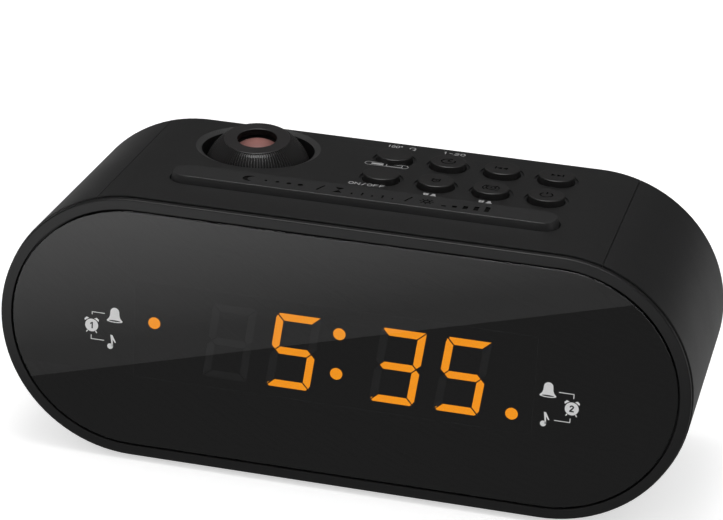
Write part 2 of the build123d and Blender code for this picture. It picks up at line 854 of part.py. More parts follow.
with BuildPart() as snooze_plungers:
    for x, y in snooze_places:
        disc(level(switch_top_z - plunger_foot, x, y), plunger_radius, plunger_foot + plunger_out)
finish(snooze_plungers, "snooze_plungers")

switch_places = [button_place(*place) for place in button_names.values()] + snooze_places

with BuildPart() as tact_switches:
    for x, y in switch_places:
        half = switch_side / 2
        block((x - half, x + half), (y - half, y + half), (key_board_top_z, switch_top_z))
        disc(
            level(key_board_top_z + switch_floor, x, y), plunger_radius + running_gap,
            switch_height - switch_floor, Mode.SUBTRACT,
        )
finish(tact_switches, "tact_switches")

with BuildPart() as key_board:
    with BuildSketch(level(key_board_z)) as laminate:
        with BuildLine():
            Polyline(
                (key_board_arm_left, key_board_front), (key_board_right, key_board_front),
                (key_board_right, key_board_back), (key_board_left, key_board_back),
                (key_board_left, key_board_arm_back), (key_board_arm_left, key_board_arm_back),
                close=True,
            )
        make_face()
    extrude(laminate.sketch, amount=board_thickness)
    for x, y in key_screw_places:
        pilot(level(key_board_z, x, y), board_thickness)
finish(key_board, "key_board")

with BuildPart() as key_board_screws:
    for x, y in key_screw_places:
        screw(underside(key_board_z, x, y), under_top_z - key_board_z - pilot_end - screw_room)
finish(key_board_screws, "key_board_screws")

# ---------------------------------------------------------------- projector

tilt = math.radians(rest_tilt)
head_up = (0, -math.sin(tilt), math.cos(tilt))
head_axis = Axis((ball_x, ball_y, pivot_z), head_up)
# local x is the radius along +X, local y the height above the pivot along the head's axis
head_profile = Plane(
    origin=(ball_x, ball_y, pivot_z), x_dir=(1, 0, 0), z_dir=(0, -math.cos(tilt), -math.sin(tilt))
)


def head_level(height, x=0.0, y=0.0):
    """A plane square to the head's axis, moved to a place across it."""
    plane = Plane(origin=(ball_x, ball_y, pivot_z), x_dir=(1, 0, 0), z_dir=head_up)
    return Plane(origin=plane.from_local_coords((x, y, height)), x_dir=(1, 0, 0), z_dir=head_up)


def ball_slice(radius, low, high, mode=Mode.ADD):
    """A ball of the head, cut square to the axis at two heights."""
    with BuildSketch(head_profile) as half:
        with BuildLine():
            low_point = (math.sqrt(radius**2 - low**2), low)
            high_point = (math.sqrt(radius**2 - high**2), high)
            start = math.degrees(math.asin(low / radius))
            stop = math.degrees(math.asin(high / radius))
            CenterArc((0, 0), radius, start, stop - start)
            Polyline(high_point, (0, high), (0, low), low_point)
        make_face()
    revolve(half.sketch, axis=head_axis, mode=mode)


deck_z = ring_foot - moving_gap - deck_height
deck_top = deck_z + deck_height
sleeve_radius = neck_radius - running_gap
barrel_bore = barrel_radius + moving_gap
inner_ball = ball_radius - ball_wall
key_z = deck_z - key_drop
lcd_z = deck_z - lcd_seat
lamp_board_top = -lamp_board_depth

with BuildPart() as projector_head:
    ball_slice(ball_radius, -ball_foot, deck_top)
    ball_slice(inner_ball, -ball_foot, deck_z, Mode.SUBTRACT)
    disc(head_level(deck_z - tube_length), tube_radius + tube_wall, tube_length)
    disc(head_level(deck_top), neck_radius + neck_wall, neck_height)
    disc(head_level(deck_top), neck_radius, neck_height, Mode.SUBTRACT)
    snap_groove = head_level(sleeve_foot - moving_gap)
    disc(snap_groove, neck_radius + snap_lip + moving_gap, snap_height + 2 * moving_gap,
         Mode.SUBTRACT)
    disc(head_level(deck_z - tube_length), tube_radius, tube_length + deck_height, Mode.SUBTRACT)
    disc(head_level(lcd_z), barrel_bore, deck_top - lcd_z, Mode.SUBTRACT)
    # keys that keep the lens barrel from turning
    for sx in (-1, 1):
        with BuildSketch(head_level(key_z)) as key:
            with Locations((sx * (barrel_radius - key_depth / 2), 0)):
                Rectangle(key_depth, key_width)
        extrude(key.sketch, amount=key_height)
    # posts for the lamp board, bosses for the pivot pins
    for sy in (-1, 1):
        post = head_level(lamp_board_top, 0, sy * lamp_post_reach)
        disc(post, lamp_post_radius, deck_z + deck_height / 8 - lamp_board_top)
    for sx in (-1, 1):
        side = Plane(
            origin=(ball_x + sx * (inner_ball + ball_wall / 3 - pin_boss_length), ball_y, pivot_z),
            x_dir=(0, 1, 0), z_dir=(sx, 0, 0),
        )
        disc(side, pin_boss, pin_boss_length)
        disc(side, pin_radius + press_play, pin_boss_length + 2 * ball_wall, Mode.SUBTRACT)
finish(projector_head, "projector_head")

with BuildPart() as focus_ring:
    ball_slice(ball_radius, ring_foot, flat_height)
    inner = ball_radius - ring_wall
    inner_top = flat_height - ring_top
    ball_slice(inner, ring_foot, inner_top, Mode.SUBTRACT)
    disc(head_level(sleeve_foot), sleeve_radius, inner_top - sleeve_foot + ring_top / 2)
    disc(head_level(sleeve_foot), neck_radius + snap_lip, snap_height)
    disc(head_level(sleeve_foot), barrel_radius + running_gap, inner_top - sleeve_foot,
         Mode.SUBTRACT)
    disc(head_level(inner_top - ring_top), lens_bore, 3 * ring_top, Mode.SUBTRACT)
    top_edges = focus_ring.edges().filter_by(GeomType.CIRCLE).sort_by(head_axis)[-2:]
    fillet(top_edges, ring_round)
finish(focus_ring, "focus_ring")

with BuildPart() as lens_barrel:
    disc(head_level(barrel_foot), barrel_radius, barrel_length)
    disc(head_level(barrel_foot), barrel_opening, barrel_length, Mode.SUBTRACT)
    disc(head_level(barrel_foot + lens_seat), lens_radius + press_play, barrel_length,
         Mode.SUBTRACT)
    with BuildSketch(head_level(barrel_foot)) as keyway:
        for sx in (-1, 1):
            with Locations((sx * barrel_radius, 0)):
                Rectangle(2 * (key_depth + moving_gap), key_width + 2 * moving_gap)
    key_top = key_z + key_height + lens_travel + moving_gap
    extrude(keyway.sketch, amount=key_top - barrel_foot, mode=Mode.SUBTRACT)
finish(lens_barrel, "lens_barrel")


def plano_convex(base, radius, edge, crown):
    """A lens with a flat foot at base, a cylindrical edge and a domed top."""
    curve = (radius**2 + crown**2) / (2 * crown)
    centre = base + edge + crown - curve
    start = math.degrees(math.acos(radius / curve))
    sweep = math.degrees(math.asin(radius / curve))
    with BuildSketch(head_profile) as half:
        with BuildLine():
            CenterArc((0, centre), curve, start, sweep)
            Polyline((0, base + edge + crown), (0, base), (radius, base), (radius, base + edge))
        make_face()
    revolve(half.sketch, axis=head_axis)


with BuildPart() as projection_lens:
    plano_convex(barrel_foot + lens_seat, lens_radius, lens_edge, lens_crown)
finish(projection_lens, "projection_lens")

with BuildPart() as condenser_lens:
    plano_convex(deck_z - tube_length, tube_radius - press_play, lens_edge, condenser_crown)
finish(condenser_lens, "condenser_lens")

with BuildPart() as projector_lcd:
    with BuildSketch(head_level(lcd_z)) as glass:
        Rectangle(lcd_width, lcd_height)
    extrude(glass.sketch, amount=lcd_thickness)
finish(projector_lcd, "projector_lcd")

with BuildPart() as projector_board:
    disc(head_level(lamp_board_top), lamp_board_radius, -lamp_board_thickness)
finish(projector_board, "projector_board")

with BuildPart() as projector_led:
    with BuildSketch(head_level(lamp_board_top)) as base:
        Rectangle(lamp_side, lamp_side)
    extrude(base.sketch, amount=lamp_base)
    disc(head_level(lamp_board_top + lamp_base), lamp_radius, lamp_dome)
finish(projector_led, "projector_led")

arm_inner = ball_radius + arm_gap
arm_outer = arm_inner + arm_thickness
arm_top_z = top_z - collar_depth - moving_gap

with BuildPart() as pivot_pins:
    for sx in (-1, 1):
        pin_x = ball_x + sx * (inner_ball - pin_start)
        pin_end = Plane(origin=(pin_x, ball_y, pivot_z), x_dir=(0, 1, 0), z_dir=(sx, 0, 0))
        disc(pin_end, pin_radius, arm_outer - inner_ball + pin_start)
finish(pivot_pins, "pivot_pins")

with BuildPart() as projector_cradle:
    rail_y = ball_y - arm_inner - arm_thickness
    for sx in (-1, 1):
        arm = sorted((ball_x + sx * arm_inner, ball_x + sx * arm_outer))
        block(arm, (rail_y, ball_y + arm_half), (cradle_z, cradle_top_z))
        block(arm, (ball_y - arm_half, ball_y + arm_half), (cradle_top_z, arm_top_z))
        bearing = Plane(
            origin=(ball_x + sx * arm_inner, ball_y, pivot_z), x_dir=(0, 1, 0), z_dir=(sx, 0, 0)
        )
        disc(bearing, pin_radius + running_gap, arm_thickness, Mode.SUBTRACT)
    block((ball_x - arm_outer, ball_x + arm_outer), (rail_y, rail_y + arm_thickness),
          (cradle_z, cradle_top_z))
    for x, y in cradle_ears:
        side = math.copysign(1, x - ball_x)
        ear = sorted((ball_x + side * arm_inner, x))
        block(ear, (y - screw_boss, y + screw_boss), (cradle_z, cradle_top_z))
        disc(level(cradle_z, x, y), screw_boss, cradle_thickness)
        pilot(level(cradle_z, x, y), cradle_thickness)
finish(projector_cradle, "projector_cradle")

with BuildPart() as cradle_screws:
    for x, y in cradle_ears:
        screw(underside(cradle_z, x, y), under_top_z - cradle_z - pilot_end - screw_room)
finish(cradle_screws, "cradle_screws")

# ---------------------------------------------------------------- main board

with BuildPart() as main_board:
    block((main_board_left, main_board_right), (main_board_front, main_board_back),
          (main_board_z, main_board_z + board_thickness))
    for x, y in main_screw_places:
        pilot(level(main_board_z, x, y), board_thickness)
finish(main_board, "main_board")

parts_z = main_board_z + board_thickness

with BuildPart() as board_components:
    for chip_x, chip_length in chips:
        x = main_board_left + chip_x
        block((x, x + chip_length), (chip_y, chip_y + chip_depth), (parts_z, parts_z + chip_height))
    for can_x, radius, height in cans:
        place = level(parts_z, main_board_left + can_x, chip_y + chip_depth + can_behind)
        disc(place, radius, height)
    sink_x = main_board_left + sink_left
    sink_y = (main_board_front + sink_front, main_board_front + sink_front + sink_depth)
    power_y = (sum(sink_y) - power_chip_depth) / 2
    block((sink_x, sink_x + sink_thickness), sink_y, (parts_z, parts_z + sink_height))
    block(
        (sink_x - power_chip_width, sink_x), (power_y, power_y + power_chip_depth),
        (parts_z, parts_z + power_chip_height),
    )
    plug_x = main_board_left + plug_left
    plug_y = main_board_front + plug_front
    block(
        (plug_x, plug_x + plug_length), (plug_y, plug_y + plug_depth),
        (parts_z, parts_z + plug_height),
    )
finish(board_components, "board_components")

with BuildPart() as main_board_screws:
    for x, y in main_screw_places:
        screw(level(parts_z, x, y), board_thickness + main_pilot - screw_room)
finish(main_board_screws, "main_board_screws")

ribbon_low_z = parts_z + ribbon_thickness / 2
ribbon_runs = [
    (display_ribbon_span, board_back_y, mid_z - display_ribbon_drop),
    (key_ribbon_span, ribbon_y + key_ribbon_top, key_board_z - ribbon_thickness / 2),
]

with BuildPart() as ribbon_cables:
    for (low_x, high_x), start_y, top in ribbon_runs:
        with BuildSketch(Plane(origin=(low_x, 0, 0), x_dir=(0, 1, 0), z_dir=(1, 0, 0))) as strip:
            with BuildLine() as path:
                FilletPolyline(
                    (start_y, top), (ribbon_y, top), (ribbon_y, ribbon_low_z),
                    (ribbon_y + ribbon_foot, ribbon_low_z), radius=ribbon_bend,
                )
            trace(path.line, line_width=ribbon_thickness)
        extrude(strip.sketch, amount=high_x - low_x)
finish(ribbon_cables, "ribbon_cables")

# ---------------------------------------------------------------- transformer

window_width = (core_width - 4 * core_leg) / 2
window_height = core_height - 2 * core_leg
core_mid_z = core_z + core_height / 2

with BuildPart() as transformer_core:
    with BuildSketch(upright(core_y - core_depth / 2, core_x, core_mid_z)) as lamination:
        Rectangle(core_width, core_height)
        with Locations((-core_leg - window_width / 2, 0), (core_leg + window_width / 2, 0)):
            Rectangle(window_width, window_height, mode=Mode.SUBTRACT)
    extrude(lamination.sketch, amount=-core_depth)
finish(transformer_core, "transformer_core")

with BuildPart() as transformer_windings:
    coil_half = core_leg + window_width - fit_gap
    with BuildSketch(level(core_mid_z - window_height / 2 + fit_gap, core_x, core_y)) as coil:
        RectangleRounded(2 * coil_half, coil_depth, coil_corner)
        Rectangle(2 * (core_leg + fit_gap), core_depth + 2 * fit_gap, mode=Mode.SUBTRACT)
    extrude(coil.sketch, amount=window_height - 2 * fit_gap)
finish(transformer_windings, "transformer_windings")

with BuildPart() as transformer_bracket:
    half = core_width / 2
    outer_half = half + strap_thickness
    strap_y = core_y - core_depth / 2 + strap_inset
    with BuildSketch(upright(strap_y, core_x, core_z)) as strap:
        with BuildLine():
            Polyline(
                (-outer_half - strap_ear, 0), (-half, 0), (-half, core_height),
                (half, core_height), (half, 0), (outer_half + strap_ear, 0),
                (outer_half + strap_ear, strap_thickness), (outer_half, strap_thickness),
                (outer_half, core_height + strap_thickness),
                (-outer_half, core_height + strap_thickness),
                (-outer_half, strap_thickness), (-outer_half - strap_ear, strap_thickness),
                close=True,
            )
        make_face()
    extrude(strap.sketch, amount=2 * strap_inset - core_depth)
    for x, y in strap_places:
        pilot(level(core_z, x, y), strap_thickness)
finish(transformer_bracket, "transformer_bracket")

with BuildPart() as transformer_screws:
    for x, y in strap_places:
        screw(level(core_z + strap_thickness, x, y), strap_thickness + strap_pilot - screw_room)
finish(transformer_screws, "transformer_screws")

# ---------------------------------------------------------------- loudspeaker

speaker_axis = Axis((speaker_x, 0, speaker_z), (0, 1, 0))
# local x is the radius along +X, local y the depth along +Y
speaker_profile = Plane(origin=(speaker_x, 0, speaker_z), x_dir=(1, 0, 0), z_dir=(0, 0, 1))
rim_y = cover_y
basket_y = cover_y - speaker_depth
magnet_y = basket_y - magnet_depth

with BuildPart() as speaker_frame:
    with BuildSketch(speaker_profile) as basket:
        with BuildLine():
            Polyline(
                (speaker_radius, rim_y), (speaker_radius, rim_y - speaker_flange),
                (speaker_radius - basket_lip, rim_y - speaker_flange),
                (magnet_radius - basket_wall, basket_y), (basket_hole, basket_y),
                (basket_hole, basket_y + basket_wall),
                (magnet_radius - 2 * basket_wall, basket_y + basket_wall),
                (speaker_radius - basket_lip - basket_wall, rim_y - speaker_flange / 2),
                (speaker_radius - basket_lip - basket_wall, rim_y), close=True,
            )
        make_face()
    revolve(basket.sketch, axis=speaker_axis)
finish(speaker_frame, "speaker_frame")

with BuildPart() as speaker_cone:
    edge_radius = speaker_radius - cone_edge
    edge_y = rim_y - cone_clear
    neck_y = edge_y - (edge_radius - coil_radius) / 2
    cap_y = neck_y + 2 * cone_thickness
    coil_inner = coil_radius - coil_wall
    with BuildSketch(speaker_profile) as paper:
        with BuildLine():
            Polyline(
                (edge_radius, edge_y - cone_thickness), (edge_radius, edge_y),
                (coil_radius, neck_y), (coil_radius, cap_y), (0, cap_y + dust_cap),
                (0, cap_y + dust_cap - cone_thickness), (coil_inner, cap_y - cone_thickness),
                (coil_inner, basket_y + coil_clear), (coil_radius, basket_y + coil_clear),
                (coil_radius, neck_y - cone_thickness), close=True,
            )
        make_face()
    revolve(paper.sketch, axis=speaker_axis)
finish(speaker_cone, "speaker_cone")

with BuildPart() as speaker_magnet:
    disc(upright(magnet_y, speaker_x, speaker_z), magnet_radius, -magnet_depth)
    disc(upright(basket_y, speaker_x, speaker_z), magnet_core, -magnet_core_depth)
finish(speaker_magnet, "speaker_magnet")

with BuildPart() as speaker_screws:
    for x, z in speaker_places:
        screw(upright(cover_y - speaker_flange, x, z), speaker_screw_length, speaker_screw_head)
finish(speaker_screws, "speaker_screws")
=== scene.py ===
import json
import math

import bmesh
import bpy
from mathutils import Matrix, Vector


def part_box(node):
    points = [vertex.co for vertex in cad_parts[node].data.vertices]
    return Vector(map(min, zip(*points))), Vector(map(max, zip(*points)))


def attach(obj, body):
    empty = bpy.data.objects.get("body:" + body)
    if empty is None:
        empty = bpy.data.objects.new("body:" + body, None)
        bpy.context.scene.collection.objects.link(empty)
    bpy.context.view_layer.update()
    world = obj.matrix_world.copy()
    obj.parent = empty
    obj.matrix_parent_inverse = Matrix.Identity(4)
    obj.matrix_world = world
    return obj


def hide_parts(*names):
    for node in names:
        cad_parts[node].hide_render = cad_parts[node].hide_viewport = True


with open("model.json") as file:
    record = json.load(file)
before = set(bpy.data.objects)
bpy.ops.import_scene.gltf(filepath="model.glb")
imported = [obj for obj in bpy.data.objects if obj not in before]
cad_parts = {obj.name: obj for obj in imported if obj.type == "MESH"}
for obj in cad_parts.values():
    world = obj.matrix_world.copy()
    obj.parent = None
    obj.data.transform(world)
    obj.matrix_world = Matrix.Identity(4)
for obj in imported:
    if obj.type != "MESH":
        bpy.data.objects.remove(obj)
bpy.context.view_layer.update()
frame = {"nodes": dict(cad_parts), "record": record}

mm = 0.001  # meshes are drawn in millimetres and scaled once, when the piece is made
print("frame loaded with", len(frame["nodes"]), "nodes")


def nodeBox(node):
    low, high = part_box(node)
    return low / mm, high / mm


def nodeMiddle(node):
    low, high = nodeBox(node)
    return (low + high) / 2


# measures in millimetres, most of them from the frame

near = 0.02  # a point this close to a face or an outline lies on it
tiny = 0.0005  # points closer than this are one
seamGap = 0.12  # between the shell and the top panel
shellLow, shellHigh = nodeBox("main_shell")
windowLow, windowHigh = nodeBox("display_window")
panelHigh = nodeBox("top_panel")[1]
topZ, bottomZ = panelHigh.z, shellLow.z
endRadius = (topZ - bottomZ) / 2
midZ = (topZ + bottomZ) / 2
arcX = shellHigh.x - endRadius
seamX = panelHigh.x + seamGap / 2
windowY, shellFrontY = windowLow.y, shellLow.y
pivot = Vector((-37.6, 17.0, 67.6))  # of the projector head
headTilt = math.radians(8.4)


# node helpers, and the groups that several finishes share


def newGroup(name, inputs, outputs, kind="ShaderNodeTree"):
    group = bpy.data.node_groups.new(name, kind)
    for label, kind, value in inputs:
        socket = group.interface.new_socket(name=label, in_out="INPUT", socket_type=kind)
        if value is not None:
            socket.default_value = value
    for label, kind in outputs:
        group.interface.new_socket(name=label, in_out="OUTPUT", socket_type=kind)
    return group, group.nodes.new("NodeGroupInput"), group.nodes.new("NodeGroupOutput")


def give(tree, socket, value):
    # value is another node's socket or a plain value
    if isinstance(value, bpy.types.NodeSocket):
        tree.links.new(value, socket)
    else:
        socket.default_value = value


def setInputs(tree, node, values):
    for label, value in values.items():
        give(tree, node.inputs[label], value)


def place(tree, kind, **settings):
    # settings are the node's own ones, and values or links for its inputs
    node = tree.nodes.new(kind)
    for key, value in settings.items():
        if key in node.inputs:
            give(tree, node.inputs[key], value)
        else:
            setattr(node, key, value)
    return node


def onPiece(tree, kind, **settings):
    # a node that starts from the place on the piece
    where = place(tree, "ShaderNodeTexCoord")
    return place(tree, kind, Vector=where.outputs["Object"], **settings)


def maths(tree, operation, *values, clamp=False):
    node = place(tree, "ShaderNodeMath", operation=operation, use_clamp=clamp)
    for socket, value in zip(node.inputs, values):
        give(tree, socket, value)
    return node.outputs[0]


def grey(tone):
    # a single number stands for a grey
    return tone if isinstance(tone, tuple) else (tone,) * 3


def blend(tree, factor, low, high):
    # a mix by a socket of two colours, each a socket or a tone
    mix = place(tree, "ShaderNodeMix", data_type="RGBA", Factor=factor)
    for socket, colour in zip(mix.inputs[6:8], (low, high)):
        give(tree, socket, (*grey(colour), 1) if isinstance(colour, (float, tuple)) else colour)
    return mix.outputs[2]


def ramp(tree, value, spans, **settings):
    # spans are the values from and to, and what they become
    fade = place(tree, "ShaderNodeMapRange", Value=value, **settings)
    setInputs(tree, fade, dict(zip(("From Min", "From Max", "To Min", "To Max"), spans)))
    return fade.outputs["Result"]


def makeGrainGroup():
    # fine moulded texture: a height for Bump, and a gloss that varies slowly and finely
    group, source, sink = newGroup(
        "mouldedGrain",
        [("Fineness", "NodeSocketFloat", 2600.0), ("Roughness", "NodeSocketFloat", 0.5),
         ("Spread", "NodeSocketFloat", 0.1)],
        [("Height", "NodeSocketFloat"), ("Roughness", "NodeSocketFloat")],
    )
    fine = onPiece(group, "ShaderNodeTexNoise", Scale=source.outputs["Fineness"], Detail=2.0,
                   Roughness=0.6).outputs["Fac"]
    slow = onPiece(group, "ShaderNodeTexNoise", Scale=55.0, Detail=3.0, Roughness=0.55).outputs["Fac"]
    both = maths(group, "SUBTRACT", maths(group, "ADD", fine, slow), 1.0)
    swing = maths(group, "MULTIPLY", both, source.outputs["Spread"])
    gloss = maths(group, "ADD", swing, source.outputs["Roughness"])
    setInputs(group, sink, {"Height": fine, "Roughness": gloss})
    return group


def makeToneGroup():
    # two tones drifting into each other, with faint dust on what faces up
    group, source, sink = newGroup(
        "plasticTone",
        [("Dark", "NodeSocketColor", None), ("Light", "NodeSocketColor", None),
         ("Dust", "NodeSocketFloat", 0.02)],
        [("Color", "NodeSocketColor")],
    )
    drift = onPiece(group, "ShaderNodeTexNoise", Scale=38.0, Detail=4.0, Roughness=0.6)
    specks = onPiece(group, "ShaderNodeTexNoise", Scale=1400.0, Detail=1.0)
    where = place(group, "ShaderNodeTexCoord")
    facing = place(group, "ShaderNodeSeparateXYZ", Vector=where.outputs["Normal"])
    plain = blend(group, drift.outputs["Fac"], source.outputs["Dark"], source.outputs["Light"])
    upward = maths(group, "MULTIPLY", facing.outputs["Z"], specks.outputs["Fac"], clamp=True)
    veil = maths(group, "MULTIPLY", upward, source.outputs["Dust"], clamp=True)
    setInputs(group, sink, {"Color": blend(group, veil, plain, (0.5, 0.48, 0.46))})
    return group


grainGroup = makeGrainGroup()
toneGroup = makeToneGroup()


# finishes


def newMaterial(name, glows=False):
    material = bpy.data.materials.new(name)
    material.use_nodes = True
    if glows:  # too weakly to be sampled as a lamp
        material.cycles.emission_sampling = "NONE"
    return material, material.node_tree, material.node_tree.nodes["Principled BSDF"]


def mouldedPlastic(name, dark, light, roughness=0.5, gloss=0.3, grain=2600.0, bump=0.12):
    material, tree, shader = newMaterial(name)
    tone = place(tree, "ShaderNodeGroup", node_tree=toneGroup)
    texture = place(tree, "ShaderNodeGroup", node_tree=grainGroup)
    setInputs(tree, tone, {"Dark": (*grey(dark), 1), "Light": (*grey(light), 1), "Dust": 0.01})
    setInputs(tree, texture, {"Fineness": grain, "Roughness": roughness, "Spread": 0.1})
    relief = place(tree, "ShaderNodeBump", Strength=bump, Distance=0.00004,
                   Height=texture.outputs["Height"])
    setInputs(tree, shader, {
        "Base Color": tone.outputs["Color"], "Roughness": texture.outputs["Roughness"],
        "Normal": relief.outputs["Normal"], "Specular IOR Level": gloss,
    })
    return material


def metal(name, dark, light, roughness=0.3, brushed=(1.0, 1.0, 14.0), swing=0.18):
    material, tree, shader = newMaterial(name)
    stretch = onPiece(tree, "ShaderNodeMapping", Scale=brushed)
    streaks = place(tree, "ShaderNodeTexNoise", Scale=420.0, Detail=3.0,
                    Vector=stretch.outputs["Vector"]).outputs["Fac"]
    rough = maths(tree, "ADD", maths(tree, "MULTIPLY", streaks, swing), roughness - swing / 2)
    setInputs(tree, shader, {
        "Base Color": blend(tree, streaks, dark, light), "Roughness": rough, "Metallic": 1.0,
    })
    return material


def cloudedMaterial(name, low, high, scale, detail, values, socket="Base Color", glows=False):
    # a plain finish whose colour drifts between two; values are the shader's other inputs
    material, tree, shader = newMaterial(name, glows)
    cloud = onPiece(tree, "ShaderNodeTexNoise", Scale=scale, Detail=detail)
    setInputs(tree, shader, {socket: blend(tree, cloud.outputs["Fac"], low, high), **values})
    return material


def smokedAcrylic(name):
    # dark see-through sheet: what is unlit behind it disappears
    return cloudedMaterial(name, (0.085, 0.085, 0.09), 0.1, 12.0, 2.0,
                           {"Roughness": 0.0, "Transmission Weight": 1.0, "IOR": 1.49})


def litAmber(name, strength):
    # resin lit from behind
    values = {"Base Color": (0.5, 0.18, 0.01, 1), "Emission Strength": strength, "Roughness": 0.5}
    return cloudedMaterial(name, (1.0, 0.31, 0.0), (1.0, 0.35, 0.0), 260.0, 2.0, values,
                           "Emission Color", glows=True)


def printedInk(name, tone, thin=0.88):
    return cloudedMaterial(name, thin * tone, tone, 3000.0, 1.0,
                           {"Roughness": 0.55, "Specular IOR Level": 0.3})


def circuitLaminate(name):
    # green lacquer over copper tracks
    material, tree, shader = newMaterial(name)
    tracks = onPiece(tree, "ShaderNodeTexBrick", Scale=260.0)
    setInputs(tree, tracks, {"Mortar Size": 0.012, "Mortar": (0.05, 0.2, 0.06, 1),
                             "Color1": (0.008, 0.075, 0.022, 1), "Color2": (0.012, 0.1, 0.03, 1)})
    setInputs(tree, shader, {"Base Color": tracks.outputs["Color"], "Roughness": 0.35})
    return material


def lampLens(name, centre):
    # glass with a painted glow, as if lit from below: rosy in the middle, near black at the rim
    material, tree, shader = newMaterial(name, glows=True)
    centred = onPiece(tree, "ShaderNodeMapping", Location=-centre)
    distance = place(tree, "ShaderNodeVectorMath", operation="LENGTH", Vector=centred.outputs["Vector"])
    fade = ramp(tree, distance.outputs["Value"], (0.0006, 0.0062, 1.0, 0.12),
                interpolation_type="SMOOTHSTEP")
    setInputs(tree, shader, {
        "Emission Color": blend(tree, fade, (0.045, 0.027, 0.026), (0.25, 0.112, 0.096)),
        "Emission Strength": 1.0, "Base Color": (0.05, 0.02, 0.02, 1), "Roughness": 0.32,
    })
    return material


def clearGlass(name, tint, haze=0.04):
    material, tree, shader = newMaterial(name)
    cloud = onPiece(tree, "ShaderNodeTexNoise", Scale=90.0)
    setInputs(tree, shader, {"Roughness": maths(tree, "MULTIPLY", cloud.outputs["Fac"], haze),
                             "Base Color": (*grey(tint), 1), "Transmission Weight": 1.0})
    return material


def woundWire(name):
    material, tree, shader = newMaterial(name)
    turns = onPiece(tree, "ShaderNodeTexWave", Scale=900.0, bands_direction="Z").outputs["Fac"]
    relief = place(tree, "ShaderNodeBump", Strength=0.5, Distance=0.0001, Height=turns)
    setInputs(tree, shader, {
        "Base Color": blend(tree, turns, (0.16, 0.045, 0.015), (0.5, 0.19, 0.07)),
        "Normal": relief.outputs["Normal"], "Metallic": 0.8, "Roughness": 0.35,
    })
    return material


lensLow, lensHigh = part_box("projection_lens")

finishes = {
    "rim_plastic": mouldedPlastic("rimPlastic", (0.009, 0.009, 0.0095), 0.012,
                                  roughness=0.34, gloss=0.26, grain=5200.0, bump=0.05),
    "smoked_acrylic": smokedAcrylic("smokedAcrylic"),
    "reflector_plastic": mouldedPlastic("reflectorPlastic", 0.0012, 0.0018, roughness=0.6, gloss=0.02),
    "amber_diffuser": litAmber("amberDiffuser", 9.5),
    "circuit_board": circuitLaminate("circuitBoard"),
    "steel_screws": metal("zincSteel", (0.35, 0.36, 0.37), (0.6, 0.6, 0.58)),
    "housing_plastic": mouldedPlastic("housingPlastic", (0.007, 0.007, 0.0075), 0.009,
                                      roughness=0.4, gloss=0.5),
    "panel_plastic": mouldedPlastic("panelPlastic", (0.007, 0.007, 0.0072), 0.009,
                                    roughness=0.38, gloss=0.5),
    "gland_rubber": mouldedPlastic("glandRubber", 0.014, 0.022, roughness=0.7),
    "foot_rubber": mouldedPlastic("footRubber", 0.02, (0.032, 0.031, 0.03),
                                  roughness=0.8, grain=1500.0, bump=0.3),
    "coin_steel": metal("coinSteel", (0.5, 0.5, 0.48), (0.72, 0.72, 0.7), 0.22),
    "contact_brass": metal("contactBrass", (0.5, 0.36, 0.12), (0.75, 0.58, 0.25), 0.3),
    "bar_plastic": mouldedPlastic("barPlastic", (0.013, 0.013, 0.0135), 0.016,
                                  roughness=0.42, gloss=0.5),
    "button_plastic": mouldedPlastic("buttonPlastic", (0.009, 0.0085, 0.0085), (0.012, 0.0115, 0.0115),
                                     roughness=0.4, gloss=0.5, grain=4200.0, bump=0.06),
    "plunger_plastic": mouldedPlastic("plungerPlastic", 0.03, 0.05),
    "switch_body": mouldedPlastic("switchBody", 0.03, 0.06),
    "component_black": mouldedPlastic("componentBlack", 0.02, 0.05),
    "ribbon_white": mouldedPlastic("ribbonWhite", (0.6, 0.6, 0.57), (0.75, 0.75, 0.72)),
    "core_steel": metal("coreSteel", (0.12, 0.12, 0.13), 0.3, 0.5, (1.0, 24.0, 1.0)),
    "winding_copper": woundWire("windingCopper"),
    "cone_paper": mouldedPlastic("conePaper", 0.02, (0.035, 0.034, 0.033),
                                 roughness=0.85, grain=900.0, bump=0.5),
    "magnet_ferrite": mouldedPlastic("magnetFerrite", (0.03, 0.03, 0.032), 0.06),
    "cradle_plastic": mouldedPlastic("cradlePlastic", (0.008, 0.008, 0.009), 0.012),
    "ring_plastic": mouldedPlastic("ringPlastic", (0.012, 0.0108, 0.0112), (0.015, 0.0135, 0.014),
                                   roughness=0.36, gloss=0.5, grain=5200.0, bump=0.05),
    "lens_glass": lampLens("lensGlass", (lensLow + lensHigh) / 2),
    "lcd_glass": clearGlass("lcdGlass", 0.3),
    "lamp_red": clearGlass("lampRed", (0.8, 0.04, 0.03)),
}
# finishes of single places
# painted shade: steel coloured near black for the pins and screws deep in the projector's well
wellPaintedShadeSteel = metal("wellPaintedShadeSteel", 0.012, 0.03, 0.5)
# painted light: the well's chamfer is coloured far lighter than the panel, as if light from the sides
# fell on it
slantPaintedLight = mouldedPlastic("slantPaintedLight", 0.034, 0.042, roughness=0.3, gloss=0.5, bump=0.04)
engraved = mouldedPlastic("engravedDark", 0.002, 0.003, roughness=0.6, gloss=0.05, bump=0.03)
# painted shade: the segments that aren't lit are coloured near black instead of amber, so the glow of
# their neighbours hardly shows on them
unlitResinPaintedShade = mouldedPlastic("unlitResinPaintedShade", (0.0012, 0.0011, 0.001), (0.0016, 0.0014, 0.0012),
                            roughness=0.6, gloss=0.02, bump=0.02)
# painted shade: the ring's skin between the ribs and its bore are coloured darker than the ring
ringGroovePaintedShade = mouldedPlastic("ringGroovePaintedShade", 0.003, 0.004, roughness=0.5, gloss=0.12, bump=0.03)
# painted highlight: the rib crests are coloured several times lighter than the ring
ribCrestPaintedLight = mouldedPlastic("ribCrestPaintedLight", (0.036, 0.035, 0.035), (0.055, 0.053, 0.053),
                          roughness=0.35, gloss=0.5, grain=5200.0, bump=0.05)

